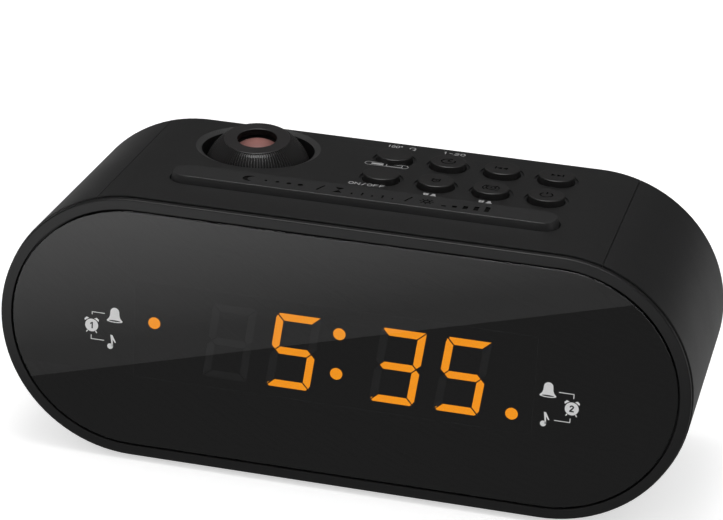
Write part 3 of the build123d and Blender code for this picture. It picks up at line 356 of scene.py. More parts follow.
slotOf = {row["node"]: row["material_slot"] for row in frame["record"]["subparts"]}
for name, slot in slotOf.items():
    node = frame["nodes"][name]
    node.data.materials.clear()
    node.data.materials.append(finishes[slot])
for name in ("pivot_pins", "cradle_screws"):  # seen down the well, beside the ball; coloured near black as painted shade
    frame["nodes"][name].data.materials[0] = wellPaintedShadeSteel

print("finishes on all nodes")


# mesh helpers


def dataOf(mesh, name):
    data = bpy.data.meshes.new(name)
    mesh.to_mesh(data)
    mesh.free()
    return data


def addObject(name, data):
    item = bpy.data.objects.new(name, data)
    bpy.context.scene.collection.objects.link(item)
    return item


def makePiece(name, mesh, body, node=None, others=(), merge=False):
    # node is the one that the piece stands for; others are the finishes beside the node's own
    if merge:
        bmesh.ops.remove_doubles(mesh, verts=mesh.verts, dist=tiny)
        bmesh.ops.recalc_face_normals(mesh, faces=mesh.faces)
    bmesh.ops.scale(mesh, vec=(mm, mm, mm), verts=mesh.verts)
    data = dataOf(mesh, name)
    for material in ([finishes[slotOf[node]]] if node else []) + list(others):
        data.materials.append(material)
    piece = addObject(name, data)
    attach(piece, body)
    if node:
        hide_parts(node)
    return piece


def smoothPiece(piece, angle=32.0):
    piece.data.polygons.foreach_set("use_smooth", [True] * len(piece.data.polygons))
    piece.data.set_sharp_from_angle(angle=math.radians(angle))
    weigh = piece.modifiers.new("weighted", "WEIGHTED_NORMAL")
    weigh.keep_sharp = True
    weigh.mode = "FACE_AREA"


def bevelPicked(piece, width, pick, segments=2, angle=30.0):
    # rounds the sharp edges with both ends, in millimetres, passing pick
    mesh = bmesh.new()
    mesh.from_mesh(piece.data)
    bmesh.ops.dissolve_limit(mesh, angle_limit=math.radians(0.4), verts=mesh.verts, edges=mesh.edges)
    chosen = []
    for edge in mesh.edges:
        if len(edge.link_faces) != 2 or edge.calc_face_angle(0) < math.radians(angle):
            continue
        first, second = (vert.co / mm for vert in edge.verts)
        if pick(first) and pick(second):
            chosen.append(edge)
    bmesh.ops.bevel(mesh, geom=chosen, offset=width * mm, offset_type="OFFSET", segments=segments,
                    profile=0.5, affect="EDGES", clamp_overlap=False)
    mesh.to_mesh(piece.data)
    mesh.free()


def copyOfNode(node):
    # the node's mesh in millimetres, with its loose triangles joined
    mesh = bmesh.new()
    mesh.from_mesh(frame["nodes"][node].data)
    bmesh.ops.scale(mesh, vec=(1 / mm,) * 3, verts=mesh.verts)
    bmesh.ops.remove_doubles(mesh, verts=mesh.verts, dist=tiny)
    return mesh


def revolve(mesh, outline, steps=72):
    # a closed outline of (radius, height) turned about +Z
    rings = []
    for radius, height in outline:
        if radius < 1e-6:
            rings.append([mesh.verts.new((0, 0, height))])
            continue
        rings.append([
            mesh.verts.new((radius * math.cos(math.tau * i / steps),
                            radius * math.sin(math.tau * i / steps), height))
            for i in range(steps)
        ])
    for low, high in zip(rings, rings[1:] + rings[:1]):
        for i in range(steps):
            j = (i + 1) % steps
            corners = [low[i % len(low)], low[j % len(low)], high[j % len(high)], high[i % len(high)]]
            corners = [v for n, v in enumerate(corners) if v not in corners[:n]]
            if len(corners) > 2:
                mesh.faces.new(corners)
    return mesh


def arc(centre, radius, start, stop, steps):
    # points of an arc, angles in degrees
    turns = [math.radians(start + (stop - start) * i / steps) for i in range(steps + 1)]
    return [(centre[0] + radius * math.cos(turn), centre[1] + radius * math.sin(turn)) for turn in turns]


def fillShape(mesh, loops, plane, depth):
    # a flat shape from an outline and its holes, given thickness depth along the plane's normal
    edges = []
    for loop in loops:
        verts = [mesh.verts.new(plane @ Vector((u, v, 0))) for u, v in loop]
        edges += [mesh.edges.new((a, b)) for a, b in zip(verts, verts[1:] + verts[:1])]
    made = bmesh.ops.triangle_fill(mesh, use_beauty=True, use_dissolve=False, edges=edges)
    faces = [item for item in made["geom"] if isinstance(item, bmesh.types.BMFace)]
    pushed = bmesh.ops.extrude_face_region(mesh, geom=faces)
    moved = [item for item in pushed["geom"] if isinstance(item, bmesh.types.BMVert)]
    bmesh.ops.translate(mesh, verts=moved, vec=plane.to_3x3() @ Vector((0, 0, depth)))


def raised(shapes, plane, depth):
    # a mesh of flat shapes, each an outline with its holes
    mesh = bmesh.new()
    for loops in shapes:
        fillShape(mesh, loops, plane, depth)
    return mesh


def stroke(points, width, closed=False):
    # the loops of a line of even width through the points
    count = len(points)
    left, right = [], []
    for i, (x, y) in enumerate(points):
        before = points[i - 1] if closed or i else points[i]
        after = points[(i + 1) % count] if closed or i < count - 1 else points[i]
        into = Vector((x - before[0], y - before[1]))
        out = Vector((after[0] - x, after[1] - y))
        into = into.normalized() if into.length else out.normalized()
        out = out.normalized() if out.length else into
        across = Vector((-(into + out).y, (into + out).x)).normalized()
        reach = width / 2 / max(0.35, across.dot(Vector((-into.y, into.x))))
        left.append((x + across.x * reach, y + across.y * reach))
        right.append((x - across.x * reach, y - across.y * reach))
    return [left, right] if closed else [left + right[::-1]]


def circle(x, y, radius, steps):
    return arc((x, y), radius, 0, 360 - 360 / steps, steps - 1)


def box(x, y, width, height):
    return [(x - width / 2, y - height / 2), (x + width / 2, y - height / 2),
            (x + width / 2, y + height / 2), (x - width / 2, y + height / 2)]


def shifted(loops, x, y, scale=1.0):
    return [[(x + scale * u, y + scale * v) for u, v in loop] for loop in loops]


def frontPlane(y):
    # u to the right, v up, thickness towards the front
    return Matrix(((1, 0, 0, 0), (0, 0, -1, y), (0, 1, 0, 0), (0, 0, 0, 1)))


def topPlane(z):
    return Matrix.Translation((0, 0, z))


def takeResult(item, *others):
    # the item's mesh after its modifiers; it and the others are only there for that, and go
    result = bpy.data.meshes.new_from_object(
        item.evaluated_get(bpy.context.evaluated_depsgraph_get()))
    out = bmesh.new()
    out.from_mesh(result)
    for used in (item, *others):
        data = used.data
        bpy.data.objects.remove(used)
        bpy.data.meshes.remove(data)
    bpy.data.meshes.remove(result)
    return out


def boolean(mesh, cutter, index=0):
    # mesh minus cutter; the faces of the cut get the finish of that index
    for part in (mesh, cutter):
        bmesh.ops.recalc_face_normals(part, faces=part.faces)
    for face in cutter.faces:
        face.material_index = index
    whole, tool = addObject("whole", dataOf(mesh, "whole")), addObject("tool", dataOf(cutter, "tool"))
    for data in (whole.data, tool.data):
        data.materials.append(None)
        data.materials.append(None)
    cut = whole.modifiers.new("cut", "BOOLEAN")
    cut.operation = "DIFFERENCE"
    cut.solver = "EXACT"
    cut.use_self = True
    cut.object = tool
    return takeResult(whole, tool)


def engrave(mesh, shapes, floor, tool=1.0):
    # cuts flat shapes down to floor and gives the cut the second finish; tool is taller than the cut
    return boolean(mesh, raised(shapes, topPlane(floor), tool), 1)


def joinMesh(mesh, other, index=0):
    # other goes into mesh, its faces with the finish of that index
    for face in other.faces:
        face.material_index = index
    holder = dataOf(other, "holder")
    mesh.from_mesh(holder)
    bpy.data.meshes.remove(holder)


# housing: shell, top panel, bezel, cover and door, with their edges softened

housing = {
    "frontRound": 0.18,
    "seamRound": 0.16,
    "rimRound": 0.14,
    "wellRound": 0.1,
    "edgeRound": 0.12,
    "footRound": 0.15,
    "windowRound": 0.22,
    "buttonHoleRound": 0.35,
    "rimWidth": 2.5,
    "lipDepth": 1.2,
    "skin": 0.4,
    "feet": {"x": 50.0, "y": 23.0, "reach": 7.0},
    "slant": {"from": 0.05, "to": 1.8, "reach": 19.0},  # the chamfer round the projector's well, coloured lighter as painted light
    "seamReach": 0.1,
    "buttonReach": 6.0,
    "openTo": 56.0,  # along x, the last edge of the top's other openings
}
buttonNames = ["projection", "alarm_one", "alarm_two", "radio_power", "flip", "clock_set", "previous",
               "next"]


def outerInset(point):
    # how far inside the housing's outline a point lies
    across = max(abs(point.x) - arcX, 0.0)
    return endRadius - math.hypot(across, point.z - midZ)


def onFront(point):
    return outerInset(point) < near and abs(point.y - shellFrontY) < near


def onSeam(point):
    beside = abs(abs(point.x) - seamX) < housing["seamReach"]
    return outerInset(point) < near and beside and point.z > midZ


def softened(name, node, rounds, body="housing", mesh=None, others=(), sharp=32.0):
    # the node's own shape with edges rounded: rounds are widths and picks, steps and an angle
    piece = makePiece(name, copyOfNode(node) if mesh is None else mesh, body, node, others)
    for settings in rounds:
        bevelPicked(piece, *settings)
    smoothPiece(piece, sharp)


def makeShell():
    feet = housing["feet"]
    byFoot = lambda p: math.hypot(abs(p.x) - feet["x"], abs(p.y) - feet["y"]) < feet["reach"]
    onFoot = lambda p: abs(p.z - bottomZ) < near and byFoot(p)
    softened("housingShell", "main_shell", [
        (housing["frontRound"], onFront), (housing["seamRound"], onSeam), (housing["footRound"], onFoot)])


def makeTopPanel():
    mesh, slant = copyOfNode("top_panel"), housing["slant"]
    # the chamfer's faces take the second, lighter finish: painted light
    for face in mesh.faces:
        middle = face.calc_center_median()
        around = math.hypot(middle.x - pivot.x, middle.y - pivot.y) < slant["reach"]
        leaning = 0.1 < abs(face.normal.z) < 0.95
        if around and leaning and slant["from"] < topZ - middle.z < slant["to"]:
            face.material_index = 1
    spots = [nodeMiddle(name + "_button") for name in buttonNames]
    byButton = lambda p: min(math.hypot(p.x - spot.x, p.y - spot.y)
                             for spot in spots) < housing["buttonReach"]
    onTop = lambda p: abs(p.z - topZ) < near
    onHole = lambda p: onTop(p) and byButton(p)
    onOpening = lambda p: (onTop(p) and abs(p.x) < housing["openTo"] and p.y > shellFrontY + 1
                           and not byButton(p))
    softened("topPanel", "top_panel", [
        (housing["frontRound"], onFront), (housing["seamRound"], onSeam),
        (housing["wellRound"], onOpening, 2, 20.0), (housing["buttonHoleRound"], onHole, 3),
    ], mesh=mesh, others=[slantPaintedLight], sharp=26.0)


def makeBezel():
    frontY = nodeBox("front_bezel")[0].y
    onRim = lambda p: abs(p.y - frontY) < near and outerInset(p) > housing["rimWidth"]
    onBack = lambda p: outerInset(p) < housing["skin"] and p.y > frontY + housing["lipDepth"]
    softened("frontBezel", "front_bezel", [
        (housing["rimRound"], onRim), (housing["edgeRound"], onBack)])


def makeWindow():
    onFace = lambda p: abs(p.y - windowY) < near
    softened("displayWindow", "display_window", [(housing["windowRound"], onFace, 3)])


def makeRearCover():
    backY = nodeBox("rear_cover")[1].y
    onBack = lambda p: abs(p.y - backY) < near
    softened("rearCover", "rear_cover", [(housing["edgeRound"], onBack)])


def makeBatteryDoor():
    lowZ = nodeBox("battery_door")[0].z
    onUnderside = lambda p: abs(p.z - lowZ) < near
    softened("batteryDoor", "battery_door", [(housing["edgeRound"], onUnderside)], "door")


makeShell()
makeTopPanel()
makeBezel()
makeWindow()
makeRearCover()
makeBatteryDoor()
print("housing pieces made")


# digits

digits = {
    "height": 21.6,
    "width": 12.2,
    "slant": 0.114,
    "bar": 2.1,
    "gap": 0.22,
    "lastX": 33.9,
    "pitch": 17.6,
    "colonRoom": 11.1,
    "dotRadius": 1.7,
    "reading": [" ", "5", "3", "5"],
    "colon": [(0.0, 6.8), (-0.3, -4.8)],
    "alarmDots": [(-51.3, 2.3), (47.7, -8.9)],
    "drop": 0.25,
    "depth": 6.9,
    "corner": 0.8,
    "unlitSink": 0.5,
    "behind": 0.05,  # the window
}
segmentsOf = {" ": "", "5": "AFGCD", "3": "ABGCD"}


def segmentLoops():
    # outlines of the seven segments: A on top, B to F clockwise, G in the middle
    wide, tall = digits["width"] / 2, digits["height"] / 2
    thick, gap, chop = digits["bar"], digits["gap"], digits["corner"]
    half = thick / 2
    left = [(-wide + gap + 0.2 * chop, tall - 0.9 * chop), (-wide + gap + chop, tall)]
    right = [(wide - gap - chop, tall), (wide - gap - 0.2 * chop, tall - 0.9 * chop)]
    inside = [(wide - thick - gap, tall - thick), (-wide + thick + gap, tall - thick)]
    top, foot = left + [(wide - gap, tall)] + inside, left + right + inside
    middle = [(-wide + half + gap, 0), (-wide + thick + gap, half), (wide - thick - gap, half),
              (wide - half - gap, 0), (wide - thick - gap, -half), (-wide + thick + gap, -half)]
    side = [(wide - thick, tall - thick - gap), (wide - thick, half + gap), (wide - half, gap),
            (wide, gap + half)]
    upper = [(wide, tall - gap)] + side
    chopped = [(wide - 0.6 * chop, tall - gap - 0.6 * chop)] + side + [(wide, tall - gap - 1.5 * chop)]
    mirrored = lambda loop, across, up: [(across * x, up * y) for x, y in loop]
    return {"A": top, "G": middle, "D": mirrored(foot, 1, -1), "B": upper, "F": mirrored(chopped, -1, 1),
            "C": mirrored(chopped, 1, -1), "E": mirrored(chopped, -1, -1)}


def makeDigits():
    segments, lit, dark = segmentLoops(), [], []
    for count, shown in enumerate(digits["reading"]):
        x = digits["lastX"] - (3 - count) * digits["pitch"] - (digits["colonRoom"] if count < 2 else 0)
        for letter, loop in segments.items():
            slanted = [(x + u + digits["slant"] * v, midZ - digits["drop"] + v) for u, v in loop]
            (lit if letter in segmentsOf[shown] else dark).append([slanted])
    for x, z in digits["colon"] + digits["alarmDots"]:
        lit.append([circle(x, midZ + z, digits["dotRadius"], 40)])
    plane = frontPlane(windowHigh.y + digits["depth"] + digits["behind"])
    litMesh = raised(lit, plane, digits["depth"])
    darkMesh = raised(dark, plane, digits["depth"] - digits["unlitSink"])
    smoothPiece(makePiece("litSegments", litMesh, "housing", "digit_segments", merge=True))
    smoothPiece(makePiece("darkSegments", darkMesh, "housing", others=[unlitResinPaintedShade], merge=True))


makeDigits()
print("digits made")


# prints on the window, with signs that the top panel repeats

ink = {"film": 0.03, "window": 0.86, "panel": 0.42, "line": 0.2}
windowInk = printedInk("windowInk", ink["window"])
panelInk = printedInk("panelInk", ink["panel"])


def bellShape():
    dome = arc((0, 0.9), 1.25, 180, 0, 14)
    flare = [(1.35, -0.2), (1.6, -0.9), (2.25, -1.65)]
    lip = [(2.1, -1.95), (1.1, -2.15), (0, -2.2), (-1.1, -2.15), (-2.1, -1.95)]
    body = dome + flare + lip + [(-x, y) for x, y in flare[::-1]]
    mouth = arc((0, -1.75), 1.0, 0, 350, 24)
    return [body, [(1.65 * x, -1.72 + 0.22 * (y + 1.75)) for x, y in mouth]]


def clockShape(number):
    numeral = {
        1: [(-0.5, 0.55), (0.1, 0.95), (0.35, 0.95), (0.35, -0.95), (-0.05, -0.95), (-0.05, 0.4),
            (-0.4, 0.2)],
        2: [(-0.6, 0.35), (-0.55, 0.75), (-0.2, 1.0), (0.3, 0.95), (0.6, 0.6), (0.5, 0.15),
            (-0.05, -0.55), (0.6, -0.55), (0.6, -0.95), (-0.65, -0.95), (-0.65, -0.6), (0.1, 0.25),
            (0.2, 0.5), (0.05, 0.62), (-0.15, 0.6), (-0.25, 0.35)],
    }[number]
    shapes = [[circle(0, 0, 1.85, 40), numeral]]
    for side in (-1, 1):
        bell = [(0.75, 2.05), (1.45, 2.3), (2.05, 1.75), (1.95, 1.2)]
        shapes.append([[(side * x, y) for x, y in bell]])
        foot = [(1.0, -1.7), (1.25, -1.5), (1.6, -2.1), (1.35, -2.2)]
        shapes.append([[(side * x, y) for x, y in foot]])
    return shapes


def noteShape():
    head = [circle(-0.35, -1.35, 0.82, 28)]
    stem = [[(0.1, -1.35), (0.47, -1.35), (0.3, 0.75), (1.0, -0.25), (1.25, -0.05), (0.25, 1.95),
             (-0.35, 2.05)]]
    return [head, stem]


signShapes = {
    "bell": [bellShape()], "note": noteShape(), "clock1": clockShape(1), "clock2": clockShape(2),
}
windowPrints = [  # sign, x, height above the middle
    ("bell", -62.1, 3.55), ("clock1", -68.6, -0.3), ("note", -62.9, -4.4),
    ("bell", 57.15, 0.1), ("clock2", 63.7, -4.4), ("note", 56.8, -8.4),
]
windowLines = [
    [(-68.5, 2.9), (-68.5, 3.65), (-64.9, 3.65)],
    [(-68.7, -3.1), (-68.7, -4.3), (-65.0, -4.3)],
    [(60.0, -0.2), (64.0, -0.2), (64.0, -1.5)],
    [(59.3, -8.4), (63.5, -8.4), (63.5, -7.2)],
]


def makeWindowPrints():
    shapes = [shifted(loops, x, midZ + rise)
              for sign, x, rise in windowPrints for loops in signShapes[sign]]
    shapes += [shifted(stroke(points, ink["line"]), 0, midZ) for points in windowLines]
    mesh = raised(shapes, frontPlane(windowY), ink["film"])
    makePiece("windowPrints", mesh, "housing", others=[windowInk], merge=True)


makeWindowPrints()
print("window prints made")


# buttons

buttons = {
    "radius": 5.0,
    "flange": 1.2,
    "flangeHeight": 1.0,
    "wall": 1.4,
    "roof": 2.0,
    "stem": 1.8,
    "stemOut": 1.6,
    "edge": 0.35,
    "lip": 0.25,
    "dish": 0.12,
    "dishIn": 0.8,  # from the edge
    "engraving": 0.3,
    "line": 0.42,
}


def openDial():
    # clock face: ring with a gap and two hands
    ring = stroke(arc((0, 0), 1.9, 60, 385, 30), buttons["line"])
    hands = stroke([(0, 1.25), (0, 0), (0.95, 0)], buttons["line"])
    return [ring, hands]


def alarmGlyph(wide):
    size = 1.0 if wide else 0.8
    ring = stroke(circle(0, -0.1, 1.3 * size, 28), buttons["line"], closed=True)
    thin = 0.8 * buttons["line"]
    hands = stroke([(0, 0.65 * size), (0, -0.1), (0.5 * size, -0.1)], thin)
    ears = [stroke([(sx * 0.9 * size, 1.65 * size), (sx * 1.65 * size, 0.95 * size)], buttons["line"])
            for sx in (-1, 1)]
    shapes = [ring, hands] + ears
    if wide:
        shapes += [stroke(arc((0, -0.1), 2.25, start, start + 100, 10), thin) for start in (-50, 130)]
    return shapes


def powerGlyph():
    return [stroke(arc((0, 0), 1.7, 125, 415, 26), buttons["line"]),
            stroke([(0, 2.1), (0, 0.5)], buttons["line"])]


def seekGlyph(side):
    arrows = []
    for shift in (-1.5, 0.1):
        arrows.append([[(side * (shift + u), v) for u, v in ((0, -0.85), (1.4, 0), (0, 0.85))]])
    arrows.append([[(side * u, v) for u, v in box(1.85, 0, 0.4, 1.8)]])
    return arrows


buttonGlyphs = {
    "projection": [], "flip": [],
    "alarm_one": alarmGlyph(False), "alarm_two": alarmGlyph(True),
    "radio_power": powerGlyph(), "clock_set": openDial(),
    "previous": seekGlyph(-1), "next": seekGlyph(1),
}


def makeButton(name, glyph):
    low, high = nodeBox(name + "_button")
    middle, flangeZ = (low + high) / 2, low.z + buttons["stemOut"]
    height = high.z - flangeZ
    radius, edge, dish = buttons["radius"], buttons["edge"], buttons["dish"]
    inner, roof = radius - buttons["wall"], height - buttons["roof"]
    rounded = arc((radius - edge, height - edge), edge, 0, 90, 6)
    dished = [(radius - edge - buttons["lip"], height - 0.01)] + [
        (share * (radius - buttons["dishIn"]), height - dish * (1 - share**2))
        for share in (0.9, 0.66, 0.33)
    ]
    outline = [(radius + buttons["flange"], 0), (radius + buttons["flange"], buttons["flangeHeight"]),
               (radius, buttons["flangeHeight"])] + rounded + dished
    outline += [(0, height - dish), (0, -buttons["stemOut"]), (buttons["stem"], -buttons["stemOut"]),
                (buttons["stem"], roof), (inner, roof), (inner, 0)]
    cap = revolve(bmesh.new(), outline, 64)
    bmesh.ops.remove_doubles(cap, verts=cap.verts, dist=tiny)
    if glyph:
        cap = engrave(cap, glyph, height - dish - buttons["engraving"])
    bmesh.ops.translate(cap, verts=cap.verts, vec=(middle.x, middle.y, flangeZ))
    smoothPiece(makePiece(name + "Cap", cap, name, name + "_button", [engraved]), 28.0)


for buttonName, glyph in buttonGlyphs.items():
    makeButton(buttonName, glyph)
print("buttons made")


# snooze bar

barLow, barHigh = nodeBox("snooze_bar")
bar = {
    "flare": 0.7,
    "flat": 0.3,
    "flange": 0.7,
    "flangeHeight": 1.0,
    "topRound": 0.2,
    "wall": 1.5,
    "stemOut": 1.6,
    "legX": 26.0,
    "legRadius": 2.2,
    "legInto": 0.3,  # the roof
    "hollowBelow": 0.5,  # the flange, to cut it open
    "engraving": 0.3,
    "markLine": 0.5,
    "markHeight": 3.7,
    "moon": {"x": -31.5, "size": 1.16},
    "dots": {"x": -27.0, "pitch": 3.2},  # they grow, as one dozes off
    "dashes": (-11.8, 12.4),
    "hourglass": -6.8,
    "ticks": {"x": -2.9, "pitch": 2.8},  # of a timer
    "lamp": 17.4,
    "steps": {"x": 22.3, "pitch": 2.9, "low": 0.7},  # from dim to bright
}
barSkirt = bar["flare"] + bar["flange"]
bar["length"] = barHigh.x - barLow.x - 2 * barSkirt
bar["width"] = barHigh.y - barLow.y - 2 * barSkirt


def barOutline(grow, steps=14):
    # a rounded bar's outline, as CAD draws it, grown outwards
    half, radius = bar["length"] / 2 + grow, bar["width"] / 2 + grow - bar["flat"]
    rise = bar["width"] / 2 + grow
    points = []
    for sx, sy, start in ((1, 1, 0), (-1, 1, 90), (-1, -1, 180), (1, -1, 270)):
        centre = (sx * (half - radius), sy * (rise - radius))
        points += arc(centre, radius, start, start + 90, steps)
    return points


def loftOutlines(mesh, levels):
    # levels are (outline, height) from bottom to top; ends are capped
    rings = [[mesh.verts.new((x, y, z)) for x, y in outline] for outline, z in levels]
    count = len(rings[0])
    for low, high in zip(rings, rings[1:]):
        for i in range(count):
            mesh.faces.new((low[i], low[(i + 1) % count], high[(i + 1) % count], high[i]))
    mesh.faces.new(rings[0][::-1])
    mesh.faces.new(rings[-1])
    return mesh


def barMarks():
    # sleep, timer and dimmer signs with slanted strokes between them
    line, tall = bar["markLine"], bar["markHeight"]
    dots, ticks, steps = bar["dots"], bar["ticks"], bar["steps"]
    moon = arc((0, 0), 1.7, 60, 300, 22) + arc((0.95, 0), 1.47, 266, 94, 16)
    signs = [shifted([moon], bar["moon"]["x"], 0, bar["moon"]["size"])]
    for n in range(4):
        signs.append([circle(dots["x"] + dots["pitch"] * n, 0, 0.42 + 0.12 * n, 20)])
    for x in bar["dashes"]:
        signs.append(stroke([(x - 0.7, -tall / 2), (x + 0.7, tall / 2)], line))
    for end in (-tall / 2, tall / 2):
        glass = [(-1.25, end), (1.25, end), (0, math.copysign(0.12, end))]
        signs.append(shifted([glass], bar["hourglass"], 0))
    for n in range(5):
        x, foot = ticks["x"] + ticks["pitch"] * n, -tall / 2
        signs.append(stroke([(x, foot), (x, foot + 1.1 + 1.0 * (n % 2))], line))
    signs.append(shifted(stroke(circle(0, 0, 0.85, 24), line, closed=True), bar["lamp"], 0))
    for n in range(8):  # the lamp's rays
        turn = math.tau * n / 8
        ray = [(reach * math.cos(turn), reach * math.sin(turn)) for reach in (1.35, 1.95)]
        signs.append(shifted(stroke(ray, line * 0.8), bar["lamp"], 0))
    for n in range(5):
        height = steps["low"] + n * (tall - steps["low"]) / 4
        signs.append([box(steps["x"] + steps["pitch"] * n, (height - tall) / 2, 1.3, height)])
    return signs


def makeSnoozeBar():
    barTop, edge, roof = barHigh.z, bar["topRound"], barHigh.z - bar["wall"]
    flangeZ = barLow.z + bar["stemOut"]
    flangeTop = flangeZ + bar["flangeHeight"]
    levels = [(barOutline(barSkirt), flangeZ), (barOutline(barSkirt), flangeTop),
              (barOutline(bar["flare"]), flangeTop), (barOutline(bar["flare"]), topZ)]
    levels += [(barOutline(across), barTop + up) for across, up in arc((-edge, -edge), edge, 0, 90, 4)]
    mesh = loftOutlines(bmesh.new(), levels)
    inside = barOutline(-bar["wall"])
    hollow = loftOutlines(bmesh.new(), [(inside, flangeZ - bar["hollowBelow"]), (inside, roof)])
    mesh = engrave(boolean(mesh, hollow), barMarks(), barTop - bar["engraving"])
    for side in (-1, 1):
        radius, into = bar["legRadius"], roof + bar["legInto"]
        leg = revolve(bmesh.new(), [(0, barLow.z), (radius, barLow.z), (radius, into), (0, into)], 32)
        bmesh.ops.translate(leg, verts=leg.verts, vec=(side * bar["legX"], 0, 0))
        joinMesh(mesh, leg)
    bmesh.ops.translate(mesh, verts=mesh.verts, vec=(0, (barLow.y + barHigh.y) / 2, 0))
    smoothPiece(makePiece("snoozeBar", mesh, "snooze", "snooze_bar", [engraved]), 28.0)


makeSnoozeBar()
print("snooze bar made")


# projector: ribbed focus ring

ring = {
    "ballRadius": 15.6,
    "foot": 2.9,
    "flat": 9.3,
    "bore": 5.55,
    "wall": 1.7,
    "top": 1.5,
    "edge": 0.22,
    "ribs": 92,
    "ribDepth": 0.62,
    "ribShare": 0.36,  # of the pitch, at the root
    "crestShare": 0.3,  # of the root
    "crestSink": 0.03,
    "rootSink": 1.25,  # of the ribs' depth
    "ribLow": 0.05,
    "ribHigh": 0.15,
    "ribSteps": 9,
    "shoulder": {"in": 0.1, "down": 0.3, "skin": 0.5},  # below the flat, where the ribs end
    "sleeveFoot": 4.0,
    "sleeveOut": 8.5,
    "sleeveIn": 7.3,
}
headFrame = Matrix.Translation(pivot) @ Matrix.Rotation(headTilt, 4, "X")


def ribMesh():
    # one rib on the ring's flank, at the +X side
    mesh = bmesh.new()
    ball, pitch = ring["ballRadius"], math.tau / ring["ribs"]
    low = ring["foot"] + ring["ribLow"]
    high = math.sqrt(ball**2 - ring["flat"] ** 2) - ring["ribHigh"]
    rows = []
    for i in range(ring["ribSteps"]):
        height = low + (high - low) * i / (ring["ribSteps"] - 1)
        outer = math.sqrt(ball**2 - height**2)
        half = outer * pitch * ring["ribShare"] / 2
        root, crest = outer - ring["ribDepth"] * ring["rootSink"], outer - ring["crestSink"]
        tip = half * ring["crestShare"]
        rows.append([mesh.verts.new((x, y, height))
                     for x, y in ((root, -half), (crest, -tip), (crest, tip), (root, half))])
    for a, b in zip(rows, rows[1:]):
        for i in range(4):
            mesh.faces.new((a[i], a[(i + 1) % 4], b[(i + 1) % 4], b[i]))
    mesh.faces.new(rows[0][::-1])
    mesh.faces.new(rows[-1])
    bmesh.ops.recalc_face_normals(mesh, faces=mesh.faces)
    return mesh


def ribTree(finish):
    tree, source, sink = newGroup(
        "focusRibs", [("Rib", "NodeSocketGeometry", None), ("Count", "NodeSocketInt", None)],
        [("Ribs", "NodeSocketGeometry")], "GeometryNodeTree",
    )
    points = place(tree, "GeometryNodePoints", Count=source.outputs["Count"])
    index = place(tree, "GeometryNodeInputIndex")
    turn = maths(tree, "DIVIDE", maths(tree, "MULTIPLY", index.outputs[0], math.tau),
                 source.outputs["Count"])
    spin = place(tree, "ShaderNodeCombineXYZ", Z=turn)
    copies = place(tree, "GeometryNodeInstanceOnPoints", Points=points.outputs[0],
                   Instance=source.outputs["Rib"], Rotation=spin.outputs[0])
    real = place(tree, "GeometryNodeRealizeInstances", Geometry=copies.outputs[0])
    paint = place(tree, "GeometryNodeSetMaterial", Geometry=real.outputs[0], Material=finish)
    tree.links.new(paint.outputs[0], sink.inputs["Ribs"])
    return tree, tree.interface.items_tree["Count"].identifier


def grownByTree(mesh, tree, values):
    # the mesh after a node tree, as a new mesh in the same units
    seed = addObject("seed", dataOf(mesh, "seed"))
    modifier = seed.modifiers.new("tree", "NODES")
    modifier.node_group = tree
    for identifier, value in values.items():
        modifier[identifier] = value
    return takeResult(seed)


def makeFocusRing():
    ball, edge = ring["ballRadius"], ring["edge"]
    flatHeight = math.sqrt(ball**2 - ring["flat"] ** 2)
    skin = ball - ring["ribDepth"]
    inner, innerTop = ball - ring["wall"], flatHeight - ring["top"]
    low, shoulder = ring["foot"], ring["shoulder"]
    rise = flatHeight - shoulder["skin"] - low
    outline = [(math.sqrt(skin**2 - h**2), h) for h in [low + rise * i / 14 for i in range(15)]]
    outline += [(ring["flat"] - shoulder["in"], flatHeight - shoulder["down"])]
    outline += arc((ring["flat"] - edge, flatHeight - edge), edge, 30, 90, 4)
    outline += arc((ring["bore"] + edge, flatHeight - edge), edge, 90, 180, 4)
    outline += [(ring["bore"], innerTop), (ring["sleeveIn"], innerTop),
                (ring["sleeveIn"], ring["sleeveFoot"]), (ring["sleeveOut"], ring["sleeveFoot"]),
                (ring["sleeveOut"], innerTop)]
    outline += [(math.sqrt(inner**2 - h**2), h)
                for h in [innerTop - (innerTop - low) * i / 10 for i in range(11)]]
    body = revolve(bmesh.new(), outline, 144)
    bmesh.ops.recalc_face_normals(body, faces=body.faces)
    for face in body.faces:  # the skin between the ribs, and the bore: their darker finish is painted shade
        middle = face.calc_center_median()
        across = math.hypot(middle.x, middle.y)
        if across > ring["flat"] + shoulder["in"] or across < ring["bore"] + near:
            face.material_index = 1
    tree, countSocket = ribTree(ribCrestPaintedLight)
    ribs = grownByTree(ribMesh(), tree, {countSocket: ring["ribs"]})
    joinMesh(body, ribs, 2)
    bmesh.ops.transform(body, matrix=headFrame, verts=body.verts)
    smoothPiece(makePiece("focusRing", body, "focus", "focus_ring", [ringGroovePaintedShade, ribCrestPaintedLight]), 30.0)


makeFocusRing()
print("focus ring made")


# prints on the top panel

panelPrints = {
    "line": 0.24,
    "letterHeight": 1.7,
    "letterShare": 0.72,  # of the pitch
    # word, its left and right end and its foot
    "words": [("180*", -3.6, 1.4, 30.5), ("1-20", 12.4, 19.2, 30.6), ("ON/OFF", -6.8, 3.6, -2.5)],
    "turn": (3.7, 31.3, 0.85),  # middle and radius of the arrow
    "pill": {"y": 15.6, "left": -5.2, "right": 4.6, "radius": 1.25, "line": 0.14},
    "beam": {"left": -4.6, "right": -1.2, "from": 0.45, "to": 0.8},
    "screen": (1.9, 4.4, 1.4),  # middle and size of what the beam shows
    "tinySigns": {"y": -3.0, "spread": 1.05, "size": 0.4},
}


def oval(x, y, wide, tall):
    return [(x + wide * u, y + tall * v) for u, v in circle(0, 0, 1, 20)]


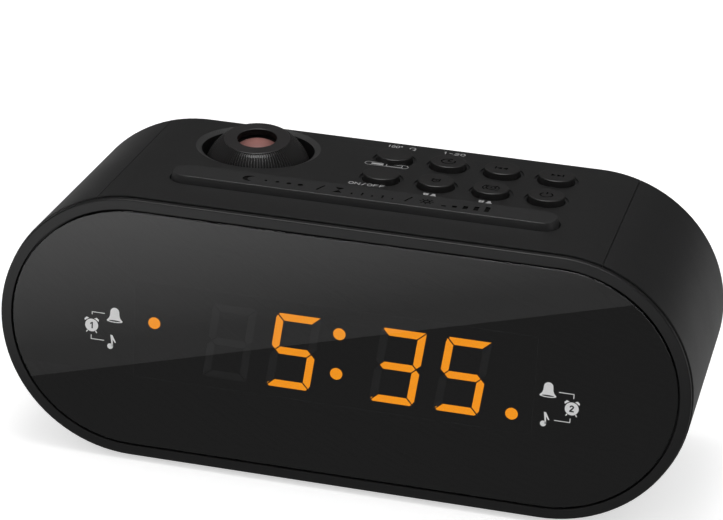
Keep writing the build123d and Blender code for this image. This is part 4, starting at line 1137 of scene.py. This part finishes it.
# strokes of a letter in a cell one wide and one high; a closed stroke ends with True
letters = {
    "0": [(oval(0.5, 0.5, 0.5, 0.5), True)],
    "1": [([(0.2, 0.75), (0.6, 1), (0.6, 0)], False)],
    "2": [([(0, 0.75), (0.2, 0.95), (0.55, 1), (0.9, 0.85), (0.9, 0.62), (0, 0), (1, 0)], False)],
    "8": [(oval(0.5, 0.76, 0.42, 0.24), True), (oval(0.5, 0.26, 0.5, 0.26), True)],
    "O": [(oval(0.5, 0.5, 0.5, 0.5), True)],
    "N": [([(0, 0), (0, 1), (1, 0), (1, 1)], False)],
    "F": [([(0, 0), (0, 1), (0.95, 1)], False), ([(0.1, 0.52), (0.85, 0.52)], False)],
    "/": [([(0.15, -0.1), (0.85, 1.1)], False)],
    "-": [([(0.1, 0.5), (0.9, 0.5)], False)],
    "*": [(oval(0.25, 0.82, 0.25, 0.18), True)],  # degree sign
}


def wordShapes(word, left, right, foot):
    # thin lettering between two places across, standing on foot
    pitch, shapes = (right - left) / len(word), []
    for count, letter in enumerate(word):
        for points, closed in letters[letter]:
            placed = [(left + pitch * (count + panelPrints["letterShare"] * u),
                       foot + panelPrints["letterHeight"] * v) for u, v in points]
            shapes.append(stroke(placed, panelPrints["line"], closed))
    return shapes


def makePanelPrints():
    line, beam, pill = panelPrints["line"], panelPrints["beam"], panelPrints["pill"]
    turnX, turnY, turnRadius = panelPrints["turn"]
    screenX, screenWidth, screenHeight = panelPrints["screen"]
    small = panelPrints["tinySigns"]
    shapes = []
    for word in panelPrints["words"]:
        shapes += wordShapes(*word)
    shapes.append(stroke(arc((turnX, turnY), turnRadius, 210, -50, 14), line))
    shapes.append([[(turnX, turnY - 1.0), (turnX + 1.0, turnY - 0.3), (turnX + 0.8, turnY - 1.4)]])
    outline = (arc((pill["right"], pill["y"]), pill["radius"], -90, 90, 12)
               + arc((pill["left"], pill["y"]), pill["radius"], 90, 270, 12))
    shapes.append(stroke(outline, pill["line"], closed=True))
    cone = [(beam["left"], -beam["from"]), (beam["left"], beam["from"]),
            (beam["right"], beam["to"]), (beam["right"], -beam["to"])]
    shapes.append(shifted([cone], 0, pill["y"]))
    shapes.append(stroke(box(screenX, pill["y"], screenWidth, screenHeight), line, closed=True))
    for button, clock in (("alarm_one", "clock1"), ("alarm_two", "clock2")):
        x = nodeMiddle(button + "_button").x
        signs = [(loops, -1) for loops in signShapes[clock]] + [(bell, 1) for bell in signShapes["bell"]]
        for loops, side in signs:
            shapes.append(shifted(loops, x + side * small["spread"], small["y"], small["size"]))
    mesh = raised(shapes, topPlane(topZ), ink["film"])
    makePiece("panelPrints", mesh, "housing", others=[panelInk], merge=True)


makePanelPrints()
print("panel prints made")


# studio, in metres

studio = {
    "floorSize": 6.0,
    "fill": 0.62,
    "floorGlow": 0.55,
    "sheen": {"normal": (-0.586, -0.81, 0.0), "spans": (0.14, 0.24, 0.0, 1.07)},  # as ramp takes them
    "cardTone": 0.32,
    "cardHeight": 0.0006,
    "floorEdge": [(-1.2, 0.02), (-0.2245, 0.02), (-0.1002, -0.0772), (0.0618, -0.1945), (0.4, -0.4393),
                  (1.2, -1.0), (1.2, 1.2), (-1.2, 1.2)],
    "ceiling": {"low": (-1.3, -1.5), "high": (1.1, -0.5), "height": 1.8, "tone": 7.0},
    "surround": {"radius": 1.3, "low": 0.02, "high": 2.4, "fadeFrom": 0.5, "dark": 0.06, "pale": 0.22},
    "aim": (0, 0, 0.04),
    "lamps": {
        "topLamp": {"size": (0.6, 0.35), "stand": (-0.1, -0.05, 1.1), "power": 2.4},
        "rightLamp": {"size": (0.5, 0.9), "stand": (1.1, -0.1, 0.5), "power": 0.7},
        "frontLamp": {"size": (1.2, 0.5), "stand": (-0.5, -1.3, 0.9), "power": 1.6, "glossy": False},
    },
}


def makeWorld():
    world = bpy.data.worlds.new("studioWorld")
    bpy.context.scene.world = world
    world.use_nodes = True
    tree = world.node_tree
    background, path = tree.nodes["Background"], place(tree, "ShaderNodeLightPath")
    background.inputs["Color"].default_value = (1, 1, 1, 1)
    seen = maths(tree, "MAXIMUM", path.outputs["Is Camera Ray"], path.outputs["Is Glossy Ray"])
    seen = maths(tree, "MAXIMUM", seen, path.outputs["Is Transmission Ray"])
    lift = maths(tree, "MULTIPLY", seen, 1.0 - studio["fill"])
    tree.links.new(maths(tree, "ADD", lift, studio["fill"]), background.inputs["Strength"])


def makeSheet(name, points, faces, material, hidden=()):
    # a surface of the studio that the hidden kinds of ray pass by
    data = bpy.data.meshes.new(name)
    data.from_pydata(points, [], faces)
    data.materials.append(material)
    sheet = addObject(name, data)
    for ray in hidden:
        setattr(sheet, "visible_" + ray, False)


def makeFloor():
    material, tree, shader = newMaterial("floorPaper", glows=True)
    fibre = onPiece(tree, "ShaderNodeTexNoise", Scale=3.0, Detail=5.0)
    # what gloss sees of the floor brightens slantwise, away from the card
    slant = onPiece(tree, "ShaderNodeVectorMath", operation="DOT_PRODUCT")
    slant.inputs[1].default_value = studio["sheen"]["normal"]
    sheen = ramp(tree, slant.outputs["Value"], studio["sheen"]["spans"])
    path = place(tree, "ShaderNodeLightPath")
    plain = maths(tree, "MAXIMUM", path.outputs["Is Camera Ray"], path.outputs["Is Transmission Ray"])
    glow = maths(tree, "ADD", maths(tree, "MULTIPLY", plain, studio["floorGlow"]),
                 maths(tree, "MULTIPLY", path.outputs["Is Glossy Ray"], sheen))
    setInputs(tree, shader, {
        "Base Color": blend(tree, fibre.outputs["Fac"], 0.8, 0.83), "Emission Color": (1, 1, 1, 1),
        "Emission Strength": glow, "Roughness": 1.0, "Specular IOR Level": 0.0,
    })
    # from below the floor isn't there
    backing, clear = place(tree, "ShaderNodeNewGeometry"), place(tree, "ShaderNodeBsdfTransparent")
    choose = place(tree, "ShaderNodeMixShader")
    for socket, source in zip(choose.inputs, (backing.outputs["Backfacing"], shader.outputs[0],
                                              clear.outputs[0])):
        tree.links.new(source, socket)
    tree.links.new(choose.outputs[0], tree.nodes["Material Output"].inputs["Surface"])
    half = studio["floorSize"] / 2
    corners = [(sx * half, sy * half, 0) for sx, sy in ((-1, -1), (1, -1), (1, 1), (-1, 1))]
    makeSheet("studioFloor", corners, [range(4)], material)


def makeCard(name, points, faces, tone, spans=None):
    # an unlit card that only reflections see; spans are the heights and tones it fades between
    material, tree, shader = newMaterial(name, glows=True)
    tree.nodes.remove(shader)
    shade = place(tree, "ShaderNodeEmission", Strength=tone)
    if spans:
        split = onPiece(tree, "ShaderNodeSeparateXYZ")
        tree.links.new(ramp(tree, split.outputs["Z"], spans), shade.inputs["Strength"])
    tree.links.new(shade.outputs[0], tree.nodes["Material Output"].inputs["Surface"])
    makeSheet(name, points, faces, material,
              ("camera", "diffuse", "transmission", "volume_scatter", "shadow"))


def makeSurround(steps=48):
    # a round grey wall about the table, so that black plastic doesn't mirror a white room
    wall = studio["surround"]
    around = circle(0, 0, wall["radius"], steps)
    points = [(x, y, z) for z in (wall["low"], wall["high"]) for x, y in around]
    faces = [(i, (i + 1) % steps, steps + (i + 1) % steps, steps + i) for i in range(steps)]
    makeCard("surround", points, faces, wall["dark"],
             (wall["fadeFrom"], wall["high"], wall["dark"], wall["pale"]))


def makeFloorCard():
    # its edge cuts the window's reflection in two
    points = [(x, y, studio["cardHeight"]) for x, y in studio["floorEdge"]]
    makeCard("floorCard", points, [range(len(points))], studio["cardTone"])


def makeCeiling():
    # draws the light lines along rounded edges
    panel = studio["ceiling"]
    (x0, y0), (x1, y1) = panel["low"], panel["high"]
    points = [(x, y, panel["height"]) for x, y in ((x0, y0), (x1, y0), (x1, y1), (x0, y1))]
    makeCard("ceilingCard", points, [range(4)], panel["tone"])


def makeLamp(name, size, stand, power, glossy=True):
    light = bpy.data.lights.new(name, "AREA")
    light.shape = "RECTANGLE"
    light.size, light.size_y = size
    light.energy = power
    lamp = addObject(name, light)
    lamp.location = stand
    lamp.rotation_euler = (Vector(studio["aim"]) - Vector(stand)).to_track_quat("-Z", "Y").to_euler()
    lamp.visible_glossy = glossy


makeWorld()
makeFloor()
for name, setup in studio["lamps"].items():
    makeLamp(name, **setup)
makeSurround()
makeFloorCard()
makeCeiling()
print("studio set up")


# camera

view = {
    "lens": 136.6,
    "place": (0.14931, -0.68522, 0.33563),
    "turn": 12.4926,  # degrees, as the next two
    "drop": 21.868,
    "roll": 3.0896,
}


def makeCamera():
    data = bpy.data.cameras.new("camera")
    data.lens = view["lens"]
    data.clip_start, data.clip_end = 0.05, 50.0
    camera = addObject("camera", data)
    turn = (Matrix.Rotation(math.radians(view["turn"]), 4, "Z")
            @ Matrix.Rotation(math.radians(90 - view["drop"]), 4, "X")
            @ Matrix.Rotation(math.radians(view["roll"]), 4, "Z"))
    camera.matrix_world = Matrix.Translation(view["place"]) @ turn
    bpy.context.scene.camera = camera


makeCamera()
bpy.context.scene.view_settings.view_transform = "Standard"
